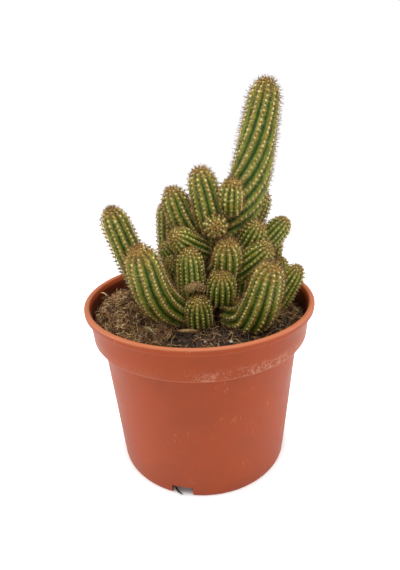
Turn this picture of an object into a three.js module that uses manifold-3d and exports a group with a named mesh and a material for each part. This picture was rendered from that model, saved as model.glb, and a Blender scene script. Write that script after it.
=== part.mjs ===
// A potted peanut cactus: a clump of finger-like, ribbed cactus stems in a 12 cm plastic nursery pot.
//
// Millimetres, +Z up. The origin is the centre of the pot's foot, on the surface that it stands on.
// The front of the plant, with its two big leaning stems, faces -Y; +X is to the right of that view.
// The ribs and spines are finer than these solids: each stem is the smooth body that they stand on.

import * as THREE from 'three';
import { mergeVertices } from 'three/addons/utils/BufferGeometryUtils.js';
import Module from 'manifold-3d';

const wasm = await Module();
wasm.setup();

// ---- Driving dimensions ----

const GAP = 0.3; // clearance between touching pieces
const WALL = 1.2; // thickness of the pot's moulded wall

const POT = {
  height: 92.5,
  footRadius: 47,
  shoulderRadius: 52.4, // body just under the collar
  collarBottom: 74.5,
  collarRadius: 57,
  lipRadius: 60,
  lipHeight: 3.6,
  lipInnerRadius: 57.2,
  floorUnderside: 3.4,
  segments: 48,
};

const NOTCH = {
  count: 4,
  firstAngle: -105, // degrees from +X, so that one notch is just left of the front
  width: 11,
  height: 5.4,
  depth: 12,
};

const SOIL = { edgeLevel: 77, crown: 6, ripple: 0.6, segments: 32 };

const MOUND = { x: -38, y: -4, z: 79, radiusX: 15, radiusY: 23, height: 10.5 };

const STEM_SIDES = 10;
const STEM_BODY_RINGS = 5;
const STEM_DOME_RINGS = 3;
const DOME_SHARE = 1.3; // length of a stem's rounded end, in half widths

// Each stem runs from its foot, past the middle point, to its tip. Its width is the widest of its
// smooth body; footShare and tipShare are how much of that is left at the foot and under the tip.
const STEMS = [
  { name: 'main_trunk', foot: [8, 4, 76], middle: [7, 3, 104], tip: [7, 3, 136], width: 15 },
  { name: 'tall_stem', foot: [9, 5, 112], middle: [24.5, 7, 140], tip: [35, 6, 195], width: 19.2,
    tipShare: 0.6, footShare: 0.8 },
  { name: 'upper_centre_stem', foot: [8, 0, 126], middle: [5.5, -3, 141], tip: [2, -4, 157.5], width: 14.4,
    tipShare: 0.72 },
  { name: 'upper_left_stem', foot: [5, 3, 114], middle: [-6, 1, 131], tip: [-12, 0, 148], width: 13.6 },
  { name: 'rear_left_stem', foot: [-6, 13, 78], middle: [-15, 18, 112], tip: [-15.5, 20, 137.5],
    width: 12 },
  { name: 'left_knuckle_stem', foot: [3, 0, 115.5], middle: [-4.5, -8, 122], tip: [-11.5, -14.5, 129],
    width: 12.4, tipShare: 0.92 },
  { name: 'small_left_stem', foot: [0, 8, 104], middle: [-11, 9, 109], tip: [-19, 9, 118], width: 10,
    tipShare: 0.9 },
  { name: 'small_left_bud', foot: [2, 2, 104], middle: [-7, -3, 108], tip: [-15, -9, 114], width: 9.6,
    tipShare: 0.95 },
  { name: 'outer_left_stem', foot: [-17.5, -3, 76], middle: [-32.5, -8, 115], tip: [-40.5, -10, 141],
    width: 14 },
  { name: 'front_left_stem', foot: [-5, -10, 84], middle: [-20, -22, 100], tip: [-26, -31, 127.5],
    width: 16.8, tipShare: 0.75, footShare: 0.85 },
  { name: 'centre_left_stem', foot: [-2, -8, 78], middle: [-3.5, -15, 105], tip: [-4, -18, 122.5],
    width: 13.4 },
  { name: 'front_bud', foot: [0, -15.5, 78], middle: [-0.5, -21, 89.5], tip: [-0.5, -25, 100.6],
    width: 12.6, tipShare: 0.84, footShare: 0.76 },
  { name: 'lower_centre_stem', foot: [10, -6, 93], middle: [11, -16, 99.5], tip: [11, -22.5, 111.5],
    width: 13.4, tipShare: 0.9, footShare: 0.66 },
  { name: 'centre_oval_stem', foot: [10, -1, 104], middle: [14, -13, 113], tip: [14, -18, 125.5],
    width: 13.2, footShare: 0.76 },
  { name: 'facing_bud', foot: [9.5, -1, 129.5], middle: [9, -9, 131], tip: [9, -16.5, 132.5], width: 9.8,
    tipShare: 1 },
  { name: 'tall_stem_bud', foot: [18, 1, 137], middle: [16.5, -7, 142.5], tip: [17, -11, 152.5], width: 10,
    tipShare: 0.9, footShare: 0.75 },
  { name: 'front_right_stem', foot: [14, -12, 86], middle: [26, -24, 90], tip: [33, -33, 118.5],
    width: 16.6, tipShare: 0.62 },
  { name: 'shaded_right_stem', foot: [19, -2, 77], middle: [22, -4, 94], tip: [24, -6, 109], width: 12 },
  { name: 'middle_right_stem', foot: [14, 0, 101], middle: [25.5, -9, 111.5], tip: [35, -14, 121.5],
    width: 14, tipShare: 0.76 },
  { name: 'upper_right_stem', foot: [19, 4, 105], middle: [26, -3, 120], tip: [31, -6, 131], width: 12.6 },
  { name: 'side_right_stem', foot: [21, 6, 104], middle: [36, 8, 117], tip: [47.2, 8, 129], width: 12.6 },
  { name: 'rear_right_stem', foot: [21, 11, 112], middle: [31, 16, 128], tip: [37, 18, 141], width: 11 },
  { name: 'slim_right_stem', foot: [36, 17, 77], middle: [41, 18, 102], tip: [44, 19, 117], width: 9.6 },
  { name: 'low_right_stem', foot: [38, 9, 77], middle: [43.5, 10, 95], tip: [45.4, 10, 107.5],
    width: 10.6 },
  { name: 'outer_right_stem', foot: [38.5, -2, 80], middle: [44.5, -3, 93], tip: [51.5, -5, 107.3],
    width: 11.8, footShare: 0.72 },
  { name: 'back_left_stem', foot: [2, 14, 77], middle: [-3, 28, 100], tip: [-6, 38, 120], width: 12.4 },
  { name: 'back_centre_stem', foot: [9, 14, 77], middle: [12, 28, 100], tip: [14, 37, 125], width: 13.6 },
  { name: 'back_right_stem', foot: [20, 16, 77], middle: [29, 28, 94], tip: [33, 36, 112], width: 12 },
  { name: 'back_low_stem', foot: [2, 26, 78], middle: [0, 38, 86], tip: [-3, 45, 98], width: 10.4,
    tipShare: 0.88 },
  { name: 'back_bud', foot: [9, 8, 114], middle: [12, 17, 119], tip: [13, 21, 128], width: 9.4,
    tipShare: 0.9 },
  { name: 'withered_bud', foot: [2.5, -20.5, 103], middle: [-1.6, -22.6, 105.8], tip: [-6.8, -23.2, 103.4],
    width: 4.2, tipShare: 0.9 },
];
const DEFAULT_TIP_SHARE = 0.8;
const DEFAULT_FOOT_SHARE = 0.86;

// ---- Colours ----

const terracottaPlastic = new THREE.MeshStandardMaterial({ color: '#b9603c', roughness: 0.5, metalness: 0 });
const compost = new THREE.MeshStandardMaterial({ color: '#2c2019', roughness: 1, metalness: 0 });
const coir = new THREE.MeshStandardMaterial({ color: '#7d6443', roughness: 1, metalness: 0 });
const cactusGreen = new THREE.MeshStandardMaterial({ color: '#4f7427', roughness: 0.7, metalness: 0 });
const driedBrown = new THREE.MeshStandardMaterial({ color: '#8a7140', roughness: 1, metalness: 0 });
const perliteWhite = new THREE.MeshStandardMaterial({ color: '#e8e4da', roughness: 0.95, metalness: 0 });
const rootBrown = new THREE.MeshStandardMaterial({ color: '#3a2c20', roughness: 0.95, metalness: 0 });

// ---- Booleans ----

function toSolid(geometry) {
  const bare = geometry.clone();
  bare.deleteAttribute('normal');
  bare.deleteAttribute('uv');
  const merged = mergeVertices(bare, 1e-3);
  return new wasm.Manifold(new wasm.Mesh({
    numProp: 3,
    vertProperties: new Float32Array(merged.attributes.position.array),
    triVerts: new Uint32Array(merged.index.array),
  }));
}

function toGeometry(solid) {
  const mesh = solid.getMesh();
  const geometry = new THREE.BufferGeometry();
  geometry.setAttribute('position', new THREE.BufferAttribute(new Float32Array(mesh.vertProperties), 3));
  geometry.setIndex(new THREE.BufferAttribute(new Uint32Array(mesh.triVerts), 1));
  geometry.computeVertexNormals();
  return geometry;
}

// A cut can leave a sliver on the far side of a neighbour: the piece is its largest part.
function largestPart(solid) {
  const parts = solid.decompose();
  parts.sort((a, b) => b.volume() - a.volume());
  return parts[0];
}

function cutBy(solid, cutters) {
  let rest = solid;
  for (const cutter of cutters) {
    rest = rest.subtract(cutter);
  }
  return largestPart(rest);
}

// ---- Pot ----

function lathe(outline, segments) {
  const geometry = new THREE.LatheGeometry(outline.map(([r, z]) => new THREE.Vector2(r, z)), segments);
  geometry.rotateX(Math.PI / 2);
  return geometry;
}

// Outer radius of the pot's body at a height, and the radius that the soil can fill.
function bodyRadius(z) {
  return THREE.MathUtils.lerp(POT.footRadius, POT.shoulderRadius, z / POT.collarBottom);
}

function potOutline() {
  const floorTop = POT.floorUnderside + 1.6;
  const lipBottom = POT.height - POT.lipHeight;
  const lipEdge = POT.lipRadius - 0.5;
  const collarTop = POT.collarRadius + 0.5;
  return [
    [0, POT.floorUnderside],
    [POT.footRadius - 4, POT.floorUnderside],
    [POT.footRadius - 3, 0],
    [POT.footRadius - 0.6, 0],
    [POT.footRadius, 0.6],
    [bodyRadius(POT.collarBottom - 0.8), POT.collarBottom - 0.8],
    [POT.collarRadius - 1, POT.collarBottom],
    [POT.collarRadius, POT.collarBottom + 0.9],
    [collarTop, lipBottom - 0.4],
    [lipEdge, lipBottom],
    [POT.lipRadius, lipBottom + 0.8],
    [POT.lipRadius, POT.height - 0.9],
    [lipEdge, POT.height - 0.2],
    [(POT.lipRadius + POT.lipInnerRadius) / 2, POT.height],
    [POT.lipInnerRadius, POT.height - 0.6],
    [collarTop - WALL, lipBottom],
    [POT.collarRadius - WALL, POT.collarBottom + WALL],
    [bodyRadius(POT.collarBottom) - WALL, POT.collarBottom + 0.4],
    [bodyRadius(floorTop) - WALL - 0.4, floorTop + 1],
    [bodyRadius(floorTop) - WALL - 1.4, floorTop],
    [0, floorTop],
  ];
}

// A drain slot through the foot ring and the edge of the raised floor.
function notchCutter(index) {
  const angle = THREE.MathUtils.degToRad(NOTCH.firstAngle + (360 / NOTCH.count) * index);
  const block = new THREE.BoxGeometry(NOTCH.depth, NOTCH.width, NOTCH.height + 2);
  block.translate(POT.footRadius - NOTCH.depth / 2 + 4, 0, NOTCH.height / 2 - 1);
  block.rotateZ(angle);
  return toSolid(block);
}

function potSolid() {
  const notches = Array.from({ length: NOTCH.count }, (_, index) => notchCutter(index));
  return cutBy(toSolid(lathe(potOutline(), POT.segments)), notches);
}

// ---- Stems ----

// Share of the full width along a stem, from its foot (0) to its tip (1), before the rounded end.
function bodyShape(along, stem) {
  const tipShare = stem.tipShare ?? DEFAULT_TIP_SHARE;
  const footShare = stem.footShare ?? DEFAULT_FOOT_SHARE;
  const widest = 0.4;
  if (along < widest) {
    return footShare + (1 - footShare) * Math.sin((Math.PI / 2) * (along / widest));
  }
  return 1 - (1 - tipShare) * ((along - widest) / (1 - widest)) ** 1.5;
}

// Rings of a stem: distance along it as a share of its length, and radius.
function stemRings(stem, length) {
  const half = stem.width / 2;
  const tipShare = stem.tipShare ?? DEFAULT_TIP_SHARE;
  const dome = Math.min(DOME_SHARE * half * tipShare, 0.6 * length) / length;
  const rings = [];
  for (let i = 0; i <= STEM_BODY_RINGS; i += 1) {
    const along = (1 - dome) * (i / STEM_BODY_RINGS);
    rings.push({ along, radius: half * bodyShape(along, stem) });
  }
  for (let i = 1; i < STEM_DOME_RINGS; i += 1) {
    const angle = (Math.PI / 2) * (i / STEM_DOME_RINGS);
    const along = 1 - dome + dome * Math.sin(angle);
    rings.push({ along, radius: half * bodyShape(along, stem) * Math.cos(angle) });
  }
  return rings;
}

// The world axis that a stem runs along least, used to turn its rings without twisting them.
function guideAxis(stem) {
  const run = new THREE.Vector3(...stem.tip).sub(new THREE.Vector3(...stem.foot));
  const sizes = run.toArray().map(Math.abs);
  const guide = new THREE.Vector3();
  guide.setComponent(sizes.indexOf(Math.min(...sizes)), 1);
  return guide;
}

// Closed skin over rings of points: a fan at the foot, bands between the rings, and a fan at the tip.
function ringSkin(rings, footPoint, tipPoint) {
  const sides = rings[0].length;
  const points = [footPoint, ...rings.flat(), tipPoint];
  const tipIndex = points.length - 1;
  const at = (ring, side) => 1 + ring * sides + (side % sides);
  const faces = [];
  for (let side = 0; side < sides; side += 1) {
    faces.push(0, at(0, side + 1), at(0, side));
    for (let ring = 0; ring + 1 < rings.length; ring += 1) {
      faces.push(at(ring, side), at(ring, side + 1), at(ring + 1, side + 1));
      faces.push(at(ring, side), at(ring + 1, side + 1), at(ring + 1, side));
    }
    faces.push(tipIndex, at(rings.length - 1, side), at(rings.length - 1, side + 1));
  }
  const geometry = new THREE.BufferGeometry();
  geometry.setAttribute('position', new THREE.Float32BufferAttribute(points.flatMap((p) => p.toArray()), 3));
  geometry.setIndex(faces);
  return geometry;
}

function stemSolid(stem, clearance = 0) {
  const curve = new THREE.CatmullRomCurve3([
    new THREE.Vector3(...stem.foot),
    new THREE.Vector3(...stem.middle),
    new THREE.Vector3(...stem.tip),
  ]);
  const guide = guideAxis(stem);
  const rings = stemRings(stem, curve.getLength()).map(({ along, radius }) => {
    const centre = curve.getPointAt(along);
    const tangent = curve.getTangentAt(along);
    const side = new THREE.Vector3().crossVectors(guide, tangent).normalize();
    const front = new THREE.Vector3().crossVectors(tangent, side);
    return Array.from({ length: STEM_SIDES }, (_, i) => {
      const angle = (2 * Math.PI * i) / STEM_SIDES;
      return centre.clone()
        .addScaledVector(side, (radius + clearance) * Math.cos(angle))
        .addScaledVector(front, (radius + clearance) * Math.sin(angle));
    });
  });
  const footPoint = curve.getPointAt(0).addScaledVector(curve.getTangentAt(0), -2 * clearance);
  const tipPoint = curve.getPointAt(1).addScaledVector(curve.getTangentAt(1), clearance);
  return toSolid(ringSkin(rings, footPoint, tipPoint));
}

// ---- Soil and what lies on it ----

function ripples(x, y) {
  return Math.sin(0.31 * x + 1) * Math.cos(0.27 * y) + 0.6 * Math.sin(0.22 * x - 0.41 * y + 2);
}

function soilHeight(x, y) {
  const fromEdge = 1 - (Math.hypot(x, y) / POT.collarRadius) ** 4;
  return SOIL.edgeLevel + fromEdge * (SOIL.crown + SOIL.ripple * ripples(x, y));
}

function soilSolid(lift = 0) {
  const floor = POT.floorUnderside + 1.6 + GAP;
  const bottomRadius = bodyRadius(floor) - WALL - 1.4 - GAP;
  const shoulder = bodyRadius(POT.collarBottom) - WALL - 0.2 - GAP;
  const edge = POT.collarRadius - WALL - GAP;
  const outline = [
    [0, floor],
    [bottomRadius, floor],
    [shoulder, POT.collarBottom + 0.6],
    [edge, POT.collarBottom + WALL + GAP + 0.1],
    [edge, SOIL.edgeLevel],
    ...[0.88, 0.76, 0.62, 0.48, 0.32, 0.16].map((share) => [edge * share, SOIL.edgeLevel]),
    [0, SOIL.edgeLevel],
  ];
  const geometry = lathe(outline, SOIL.segments);
  const position = geometry.attributes.position;
  for (let i = 0; i < position.count; i += 1) {
    if (position.getZ(i) > SOIL.edgeLevel - 0.01) {
      position.setZ(i, soilHeight(position.getX(i), position.getY(i)) + lift);
    }
  }
  return toSolid(geometry);
}

// A lumpy closed ball, stretched to three half sizes.
function lump(centre, halfSizes, detail) {
  const geometry = new THREE.IcosahedronGeometry(1, detail);
  const position = geometry.attributes.position;
  const point = new THREE.Vector3();
  for (let i = 0; i < position.count; i += 1) {
    point.fromBufferAttribute(position, i);
    const swell = 1 + 0.08 * Math.sin(5 * point.x + centre[0]) * Math.cos(4 * point.y + centre[1]);
    point.multiplyScalar(swell).multiply(new THREE.Vector3(...halfSizes));
    position.setXYZ(i, point.x + centre[0], point.y + centre[1], point.z + centre[2]);
  }
  return geometry;
}

function perliteGrain(x, y, radius) {
  const z = soilHeight(x, y) + SOIL.ripple + radius + GAP;
  return toSolid(lump([x, y, z], [radius, 0.9 * radius, 0.8 * radius], 1));
}

// A thin strand with a six-sided section through a list of points.
function strandSolid(points, radius, steps) {
  const curve = new THREE.CatmullRomCurve3(points.map((p) => new THREE.Vector3(...p)));
  const section = new THREE.Shape();
  for (let i = 0; i < 6; i += 1) {
    const angle = (Math.PI / 3) * i;
    const [x, y] = [radius * Math.cos(angle), radius * Math.sin(angle)];
    if (i === 0) {
      section.moveTo(x, y);
    } else {
      section.lineTo(x, y);
    }
  }
  return toSolid(new THREE.ExtrudeGeometry(section, { steps, extrudePath: curve }));
}

// ---- Assembly ----

const group = new THREE.Group();
group.name = 'potted_peanut_cactus';

function addPiece(name, solid, material) {
  const mesh = new THREE.Mesh(toGeometry(solid), material);
  mesh.name = name;
  group.add(mesh);
}

addPiece('pot', potSolid(), terracottaPlastic);

const placed = [];
for (const stem of STEMS) {
  const material = stem.name === 'withered_bud' ? driedBrown : cactusGreen;
  addPiece(stem.name, cutBy(stemSolid(stem), placed), material);
  placed.push(stemSolid(stem, GAP));
}

addPiece('soil', cutBy(soilSolid(), placed), compost);

const mound = toSolid(lump([MOUND.x, MOUND.y, MOUND.z], [MOUND.radiusX, MOUND.radiusY, MOUND.height], 2));
addPiece('coir_mound', cutBy(mound, [soilSolid(GAP + 0.1), ...placed]), coir);

const GRAINS = [
  [-28.5, -30, 1.2],
  [-28, -33.5, 0.9],
  [14, -38, 0.65],
  [24, -40, 0.6],
  [2, -36, 0.6],
  [-22, 44, 1.3],
  [24, 45, 1.1],
];
GRAINS.forEach(([x, y, radius], index) => {
  addPiece(`perlite_grain_${index + 1}`, perliteGrain(x, y, radius), perliteWhite);
});

const BARK_CURL = [[-10.5, -26.5, 84.2], [-7.5, -28.4, 85], [-4.5, -28.6, 85.1], [-1.5, -27.4, 84.4]];
addPiece('bark_curl', strandSolid(BARK_CURL, 0.9, 8), coir);
const ROOT_STRAND = [[-16, -42.2, 2.4], [-14.6, -44.4, 1.5], [-12.2, -46.4, 1]];
addPiece('root_strand', strandSolid(ROOT_STRAND, 0.5, 5), rootBrown);

export default group;
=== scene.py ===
"""Looks of a potted peanut cactus: ribbed, bristly stems in a nursery pot of terracotta-coloured plastic.

Everything is in metres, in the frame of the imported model, whose solids give each piece its place.
"""

import math
from typing import NamedTuple

import bmesh
import bpy
from bpy.props import FloatProperty, FloatVectorProperty, IntProperty, PointerProperty
from mathutils import Matrix, Vector, noise


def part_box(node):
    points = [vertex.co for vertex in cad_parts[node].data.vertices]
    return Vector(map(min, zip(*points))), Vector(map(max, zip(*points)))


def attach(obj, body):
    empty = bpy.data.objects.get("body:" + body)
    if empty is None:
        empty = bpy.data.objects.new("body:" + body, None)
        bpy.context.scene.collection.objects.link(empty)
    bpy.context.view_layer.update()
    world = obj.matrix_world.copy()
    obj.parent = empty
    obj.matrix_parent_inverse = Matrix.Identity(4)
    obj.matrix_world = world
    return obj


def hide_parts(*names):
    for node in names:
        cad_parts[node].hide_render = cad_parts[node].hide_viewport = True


bl_info = {
    "name": "Potted peanut cactus",
    "version": (1, 0, 0),
    "blender": (4, 5, 0),
    "location": "View3D > Sidebar > Cactus",
    "description": "Builds a clump of ribbed, bristly cactus stems in a plastic nursery pot",
    "category": "Object",
}

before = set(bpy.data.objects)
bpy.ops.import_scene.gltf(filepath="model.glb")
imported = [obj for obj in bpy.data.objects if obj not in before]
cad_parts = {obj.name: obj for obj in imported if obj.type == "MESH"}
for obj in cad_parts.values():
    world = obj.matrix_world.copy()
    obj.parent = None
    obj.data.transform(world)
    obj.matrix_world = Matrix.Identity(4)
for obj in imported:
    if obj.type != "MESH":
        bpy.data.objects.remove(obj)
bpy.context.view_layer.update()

MM = 0.001
BODY = "root"


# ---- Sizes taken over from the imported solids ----


class Stem(NamedTuple):
    """One stem in millimetres: its centre line runs from the foot past the middle to the tip.

    The shares say how much of its full width it has left at the tip and at the foot.
    """

    name: str
    foot: tuple
    middle: tuple
    tip: tuple
    width: float
    tip_share: float = 0.8
    foot_share: float = 0.86


STEMS = [
    Stem("main_trunk", (8, 4, 76), (7, 3, 104), (7, 3, 136), 15),
    Stem("tall_stem", (9, 5, 112), (24.5, 7, 140), (35, 6, 195), 19.2, 0.6, 0.8),
    Stem("upper_centre_stem", (8, 0, 126), (5.5, -3, 141), (2, -4, 157.5), 14.4, 0.72),
    Stem("upper_left_stem", (5, 3, 114), (-6, 1, 131), (-12, 0, 148), 13.6),
    Stem("rear_left_stem", (-6, 13, 78), (-15, 18, 112), (-15.5, 20, 137.5), 12),
    Stem("left_knuckle_stem", (3, 0, 115.5), (-4.5, -8, 122), (-11.5, -14.5, 129), 12.4, 0.92),
    Stem("small_left_stem", (0, 8, 104), (-11, 9, 109), (-19, 9, 118), 10, 0.9),
    Stem("small_left_bud", (2, 2, 104), (-7, -3, 108), (-15, -9, 114), 9.6, 0.95),
    Stem("outer_left_stem", (-17.5, -3, 76), (-32.5, -8, 115), (-40.5, -10, 141), 14),
    Stem("front_left_stem", (-5, -10, 84), (-20, -22, 100), (-26, -31, 127.5), 16.8, 0.75, 0.85),
    Stem("centre_left_stem", (-2, -8, 78), (-3.5, -15, 105), (-4, -18, 122.5), 13.4),
    Stem("front_bud", (0, -15.5, 78), (-0.5, -21, 89.5), (-0.5, -25, 100.6), 12.6, 0.84, 0.76),
    Stem("lower_centre_stem", (10, -6, 93), (11, -16, 99.5), (11, -22.5, 111.5), 13.4, 0.9, 0.66),
    Stem("centre_oval_stem", (10, -1, 104), (14, -13, 113), (14, -18, 125.5), 13.2, 0.8, 0.76),
    Stem("facing_bud", (9.5, -1, 129.5), (9, -9, 131), (9, -16.5, 132.5), 9.8, 1),
    Stem("tall_stem_bud", (18, 1, 137), (16.5, -7, 142.5), (17, -11, 152.5), 10, 0.9, 0.75),
    Stem("front_right_stem", (14, -12, 86), (26, -24, 90), (33, -33, 118.5), 16.6, 0.62),
    Stem("shaded_right_stem", (19, -2, 77), (22, -4, 94), (24, -6, 109), 12),
    Stem("middle_right_stem", (14, 0, 101), (25.5, -9, 111.5), (35, -14, 121.5), 14, 0.76),
    Stem("upper_right_stem", (19, 4, 105), (26, -3, 120), (31, -6, 131), 12.6),
    Stem("side_right_stem", (21, 6, 104), (36, 8, 117), (47.2, 8, 129), 12.6),
    Stem("rear_right_stem", (21, 11, 112), (31, 16, 128), (37, 18, 141), 11),
    Stem("slim_right_stem", (36, 17, 77), (41, 18, 102), (44, 19, 117), 9.6),
    Stem("low_right_stem", (38, 9, 77), (43.5, 10, 95), (45.4, 10, 107.5), 10.6),
    Stem("outer_right_stem", (38.5, -2, 80), (44.5, -3, 93), (51.5, -5, 107.3), 11.8, 0.8, 0.72),
    Stem("back_left_stem", (2, 14, 77), (-3, 28, 100), (-6, 38, 120), 12.4),
    Stem("back_centre_stem", (9, 14, 77), (12, 28, 100), (14, 37, 125), 13.6),
    Stem("back_right_stem", (20, 16, 77), (29, 28, 94), (33, 36, 112), 12),
    Stem("back_low_stem", (2, 26, 78), (0, 38, 86), (-3, 45, 98), 10.4, 0.88),
    Stem("back_bud", (9, 8, 114), (12, 17, 119), (13, 21, 128), 9.4, 0.9),
    Stem("withered_bud", (2.5, -20.5, 103), (-1.6, -22.6, 105.8), (-6.8, -23.2, 103.4), 4.2, 0.9),
]
WITHERED_BUD = "withered_bud"
TWISTS = {"tall_stem": 4.2}
CLOSE_RIBBED = {
    "front_bud",
    "centre_left_stem",
    "lower_centre_stem",
    "left_knuckle_stem",
    "upper_right_stem",
    "middle_right_stem",
    "shaded_right_stem",
    "outer_right_stem",
    "side_right_stem",
    "low_right_stem",
    "small_left_bud",
    "small_left_stem",
}

# The pot's outline, as (radius, height, rounding) from the middle of its underside to the middle of
# its floor's top.
POT_OUTLINE = [
    (0.0, 3.4, 0.0),
    (43.0, 3.4, 0.6),
    (44.0, 0.0, 0.5),
    (47.0, 0.0, 0.9),
    (52.35, 73.7, 0.5),
    (56.7, 74.4, 1.2),
    (57.5, 88.5, 1.0),
    (59.9, 89.2, 0.9),
    (60.0, 92.5, 1.2),
    (57.3, 92.4, 1.0),
    (56.3, 88.9, 1.2),
    (55.8, 75.8, 0.8),
    (51.2, 74.9, 0.8),
    (45.9, 6.0, 1.0),
    (44.5, 5.0, 0.8),
    (0.0, 5.0, 0.0),
]
NOTCH_ANGLES = [math.radians(-105 + 90 * index) for index in range(4)]

SOIL_EDGE_LEVEL = 77 * MM
SOIL_CROWN = 6 * MM
SOIL_RIPPLE = 0.6 * MM
COLLAR_RADIUS = 57 * MM
WALL_INSIDE = 55.5 * MM

MOUND_CENTRE = (-38 * MM, -4 * MM, 79 * MM)
MOUND_HALF_SIZES = (15 * MM, 23 * MM, 10.5 * MM)


def soil_height(x, y):
    """Height of the soil's smooth surface at a place."""
    ripple = math.sin(310 * x + 1) * math.cos(270 * y) + 0.6 * math.sin(220 * x - 410 * y + 2)
    from_edge = 1 - (math.hypot(x, y) / COLLAR_RADIUS) ** 4
    return SOIL_EDGE_LEVEL + from_edge * (SOIL_CROWN + SOIL_RIPPLE * ripple)


def from_hex(code):
    """A colour of the screen, as six hex digits, in the linear numbers that Blender uses."""
    shares = [int(code[i : i + 2], 16) / 255 for i in (0, 2, 4)]
    linear = [s / 12.92 if s <= 0.04045 else ((s + 0.055) / 1.055) ** 2.4 for s in shares]
    return (*linear, 1.0)


# ---- Settings that a user may change ----


def length(name, description, default):
    """A length in metres, shown in the scene's unit."""
    return FloatProperty(
        name=name, description=description, default=default, min=0.0, unit="LENGTH", subtype="DISTANCE"
    )


def tint(name, description, code):
    """A colour picked from a swatch."""
    return FloatVectorProperty(
        name=name, description=description, default=from_hex(code), size=4, min=0.0, max=1.0, subtype="COLOR"
    )


class CactusPotSettings(bpy.types.PropertyGroup):
    """The pot's plastic."""

    segments: IntProperty(name="Segments", description="Facets round the pot's wall", default=200, min=48)
    notch_width: length("Drain slot width", "Width of each slot in the foot", 11 * MM)
    notch_height: length("Drain slot height", "Height of each slot in the foot", 5.2 * MM)
    plastic: tint("Plastic", "Colour of the clean outer wall", "a04116")
    # Used for the real scuffs and for the painted highlights on the rim and the collar's lower edge.
    plastic_worn_and_sheen: tint("Worn plastic and sheen", "Colour of the painted highlights on the rim and the collar's lower edge, and of rubbed places", "c07a55")
    # Painted shade for the inside of the pot.
    plastic_inside_shade: tint("Inner wall", "Painted shade on the inner wall, deepest near the soil", "3f170d")
    bloom: tint("Mineral bloom", "Colour of the dried water marks under the collar", "dcae94")


class CactusSoilSettings(bpy.types.PropertyGroup):
    """The compost and what lies on it."""

    crumb_count: IntProperty(name="Crumbs", description="Crumbs over a square metre", default=620000, min=0)
    crumb_size: length("Crumb size", "Half width of a middling crumb", 0.62 * MM)
    fibre_count: FloatProperty(
        name="Fibres", description="Loose fibres over a square metre", default=290000.0
    )
    mat_count: FloatProperty(
        name="Mat fibres", description="Fibres over a square metre of mat", default=1150000.0
    )
    tuft_count: FloatProperty(
        name="Tuft fibres", description="Fibres over a square metre of tuft", default=1500000.0
    )
    fibre_radius: length("Fibre radius", "Half thickness of a coir fibre", 0.15 * MM)


class CactusStemSettings(bpy.types.PropertyGroup):
    """The stems' ribs, bristles and skin."""

    ribs: IntProperty(name="Ribs", description="Ribs round a full-grown stem", default=11, min=5)
    close_ribs: IntProperty(
        name="Close ribs", description="Ribs round a close-ribbed stem", default=14, min=5
    )
    rib_depth: length("Rib depth", "Depth of the furrows between ribs on a full-grown stem", 1.05 * MM)
    bump_height: length("Bump height", "Swelling of a rib under each areole", 0.22 * MM)
    areole_spacing: length("Areole spacing", "Distance between areoles along a rib", 2.05 * MM)
    wool_size: length("Wool size", "Half width of an areole's woolly pad", 0.61 * MM)
    bristles: IntProperty(name="Bristles", description="Bristles on each areole", default=15, min=0)
    bristle_length: length("Bristle length", "Longest bristle", 2.7 * MM)
    bristle_radius: length("Bristle radius", "Half thickness of a bristle at its foot", 0.085 * MM)
    # Painted shade: the furrows get a darker colour than the crests.
    furrow_shade: tint("Furrow", "Skin colour between the ribs, darkened with painted shade", "33500f")
    crest: tint("Crest", "Skin colour on the ribs", "8b9d31")
    rib_line: tint("Rib line", "Skin colour along the very top of each rib", "a8923c")
    young: tint("Young skin", "Skin colour near a stem's tip", "866424")
    corky: tint("Corky skin", "Skin colour of an old stem's foot", "94804c")


class CactusStageSettings(bpy.types.PropertyGroup):
    """The floor, the light and the camera."""

    floor_size: length("Floor size", "Width of the pale floor", 6.0)
    floor: tint("Floor", "Colour of the floor", "f7f7f7")
    floor_glow: FloatProperty(
        name="Floor glow", description="Evens out the floor's far, dimmer part", default=0.72
    )
    surround: FloatProperty(
        name="Surround", description="Strength of the even light from all round", default=0.42
    )


SETTINGS = {
    "cactus_pot": CactusPotSettings,
    "cactus_soil": CactusSoilSettings,
    "cactus_stems": CactusStemSettings,
    "cactus_stage": CactusStageSettings,
}


# ---- Writing node trees ----

FLOAT, INTEGER, VECTOR, COLOUR = "NodeSocketFloat", "NodeSocketInt", "NodeSocketVector", "NodeSocketColor"
GEOMETRY, MATERIAL = "NodeSocketGeometry", "NodeSocketMaterial"


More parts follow.
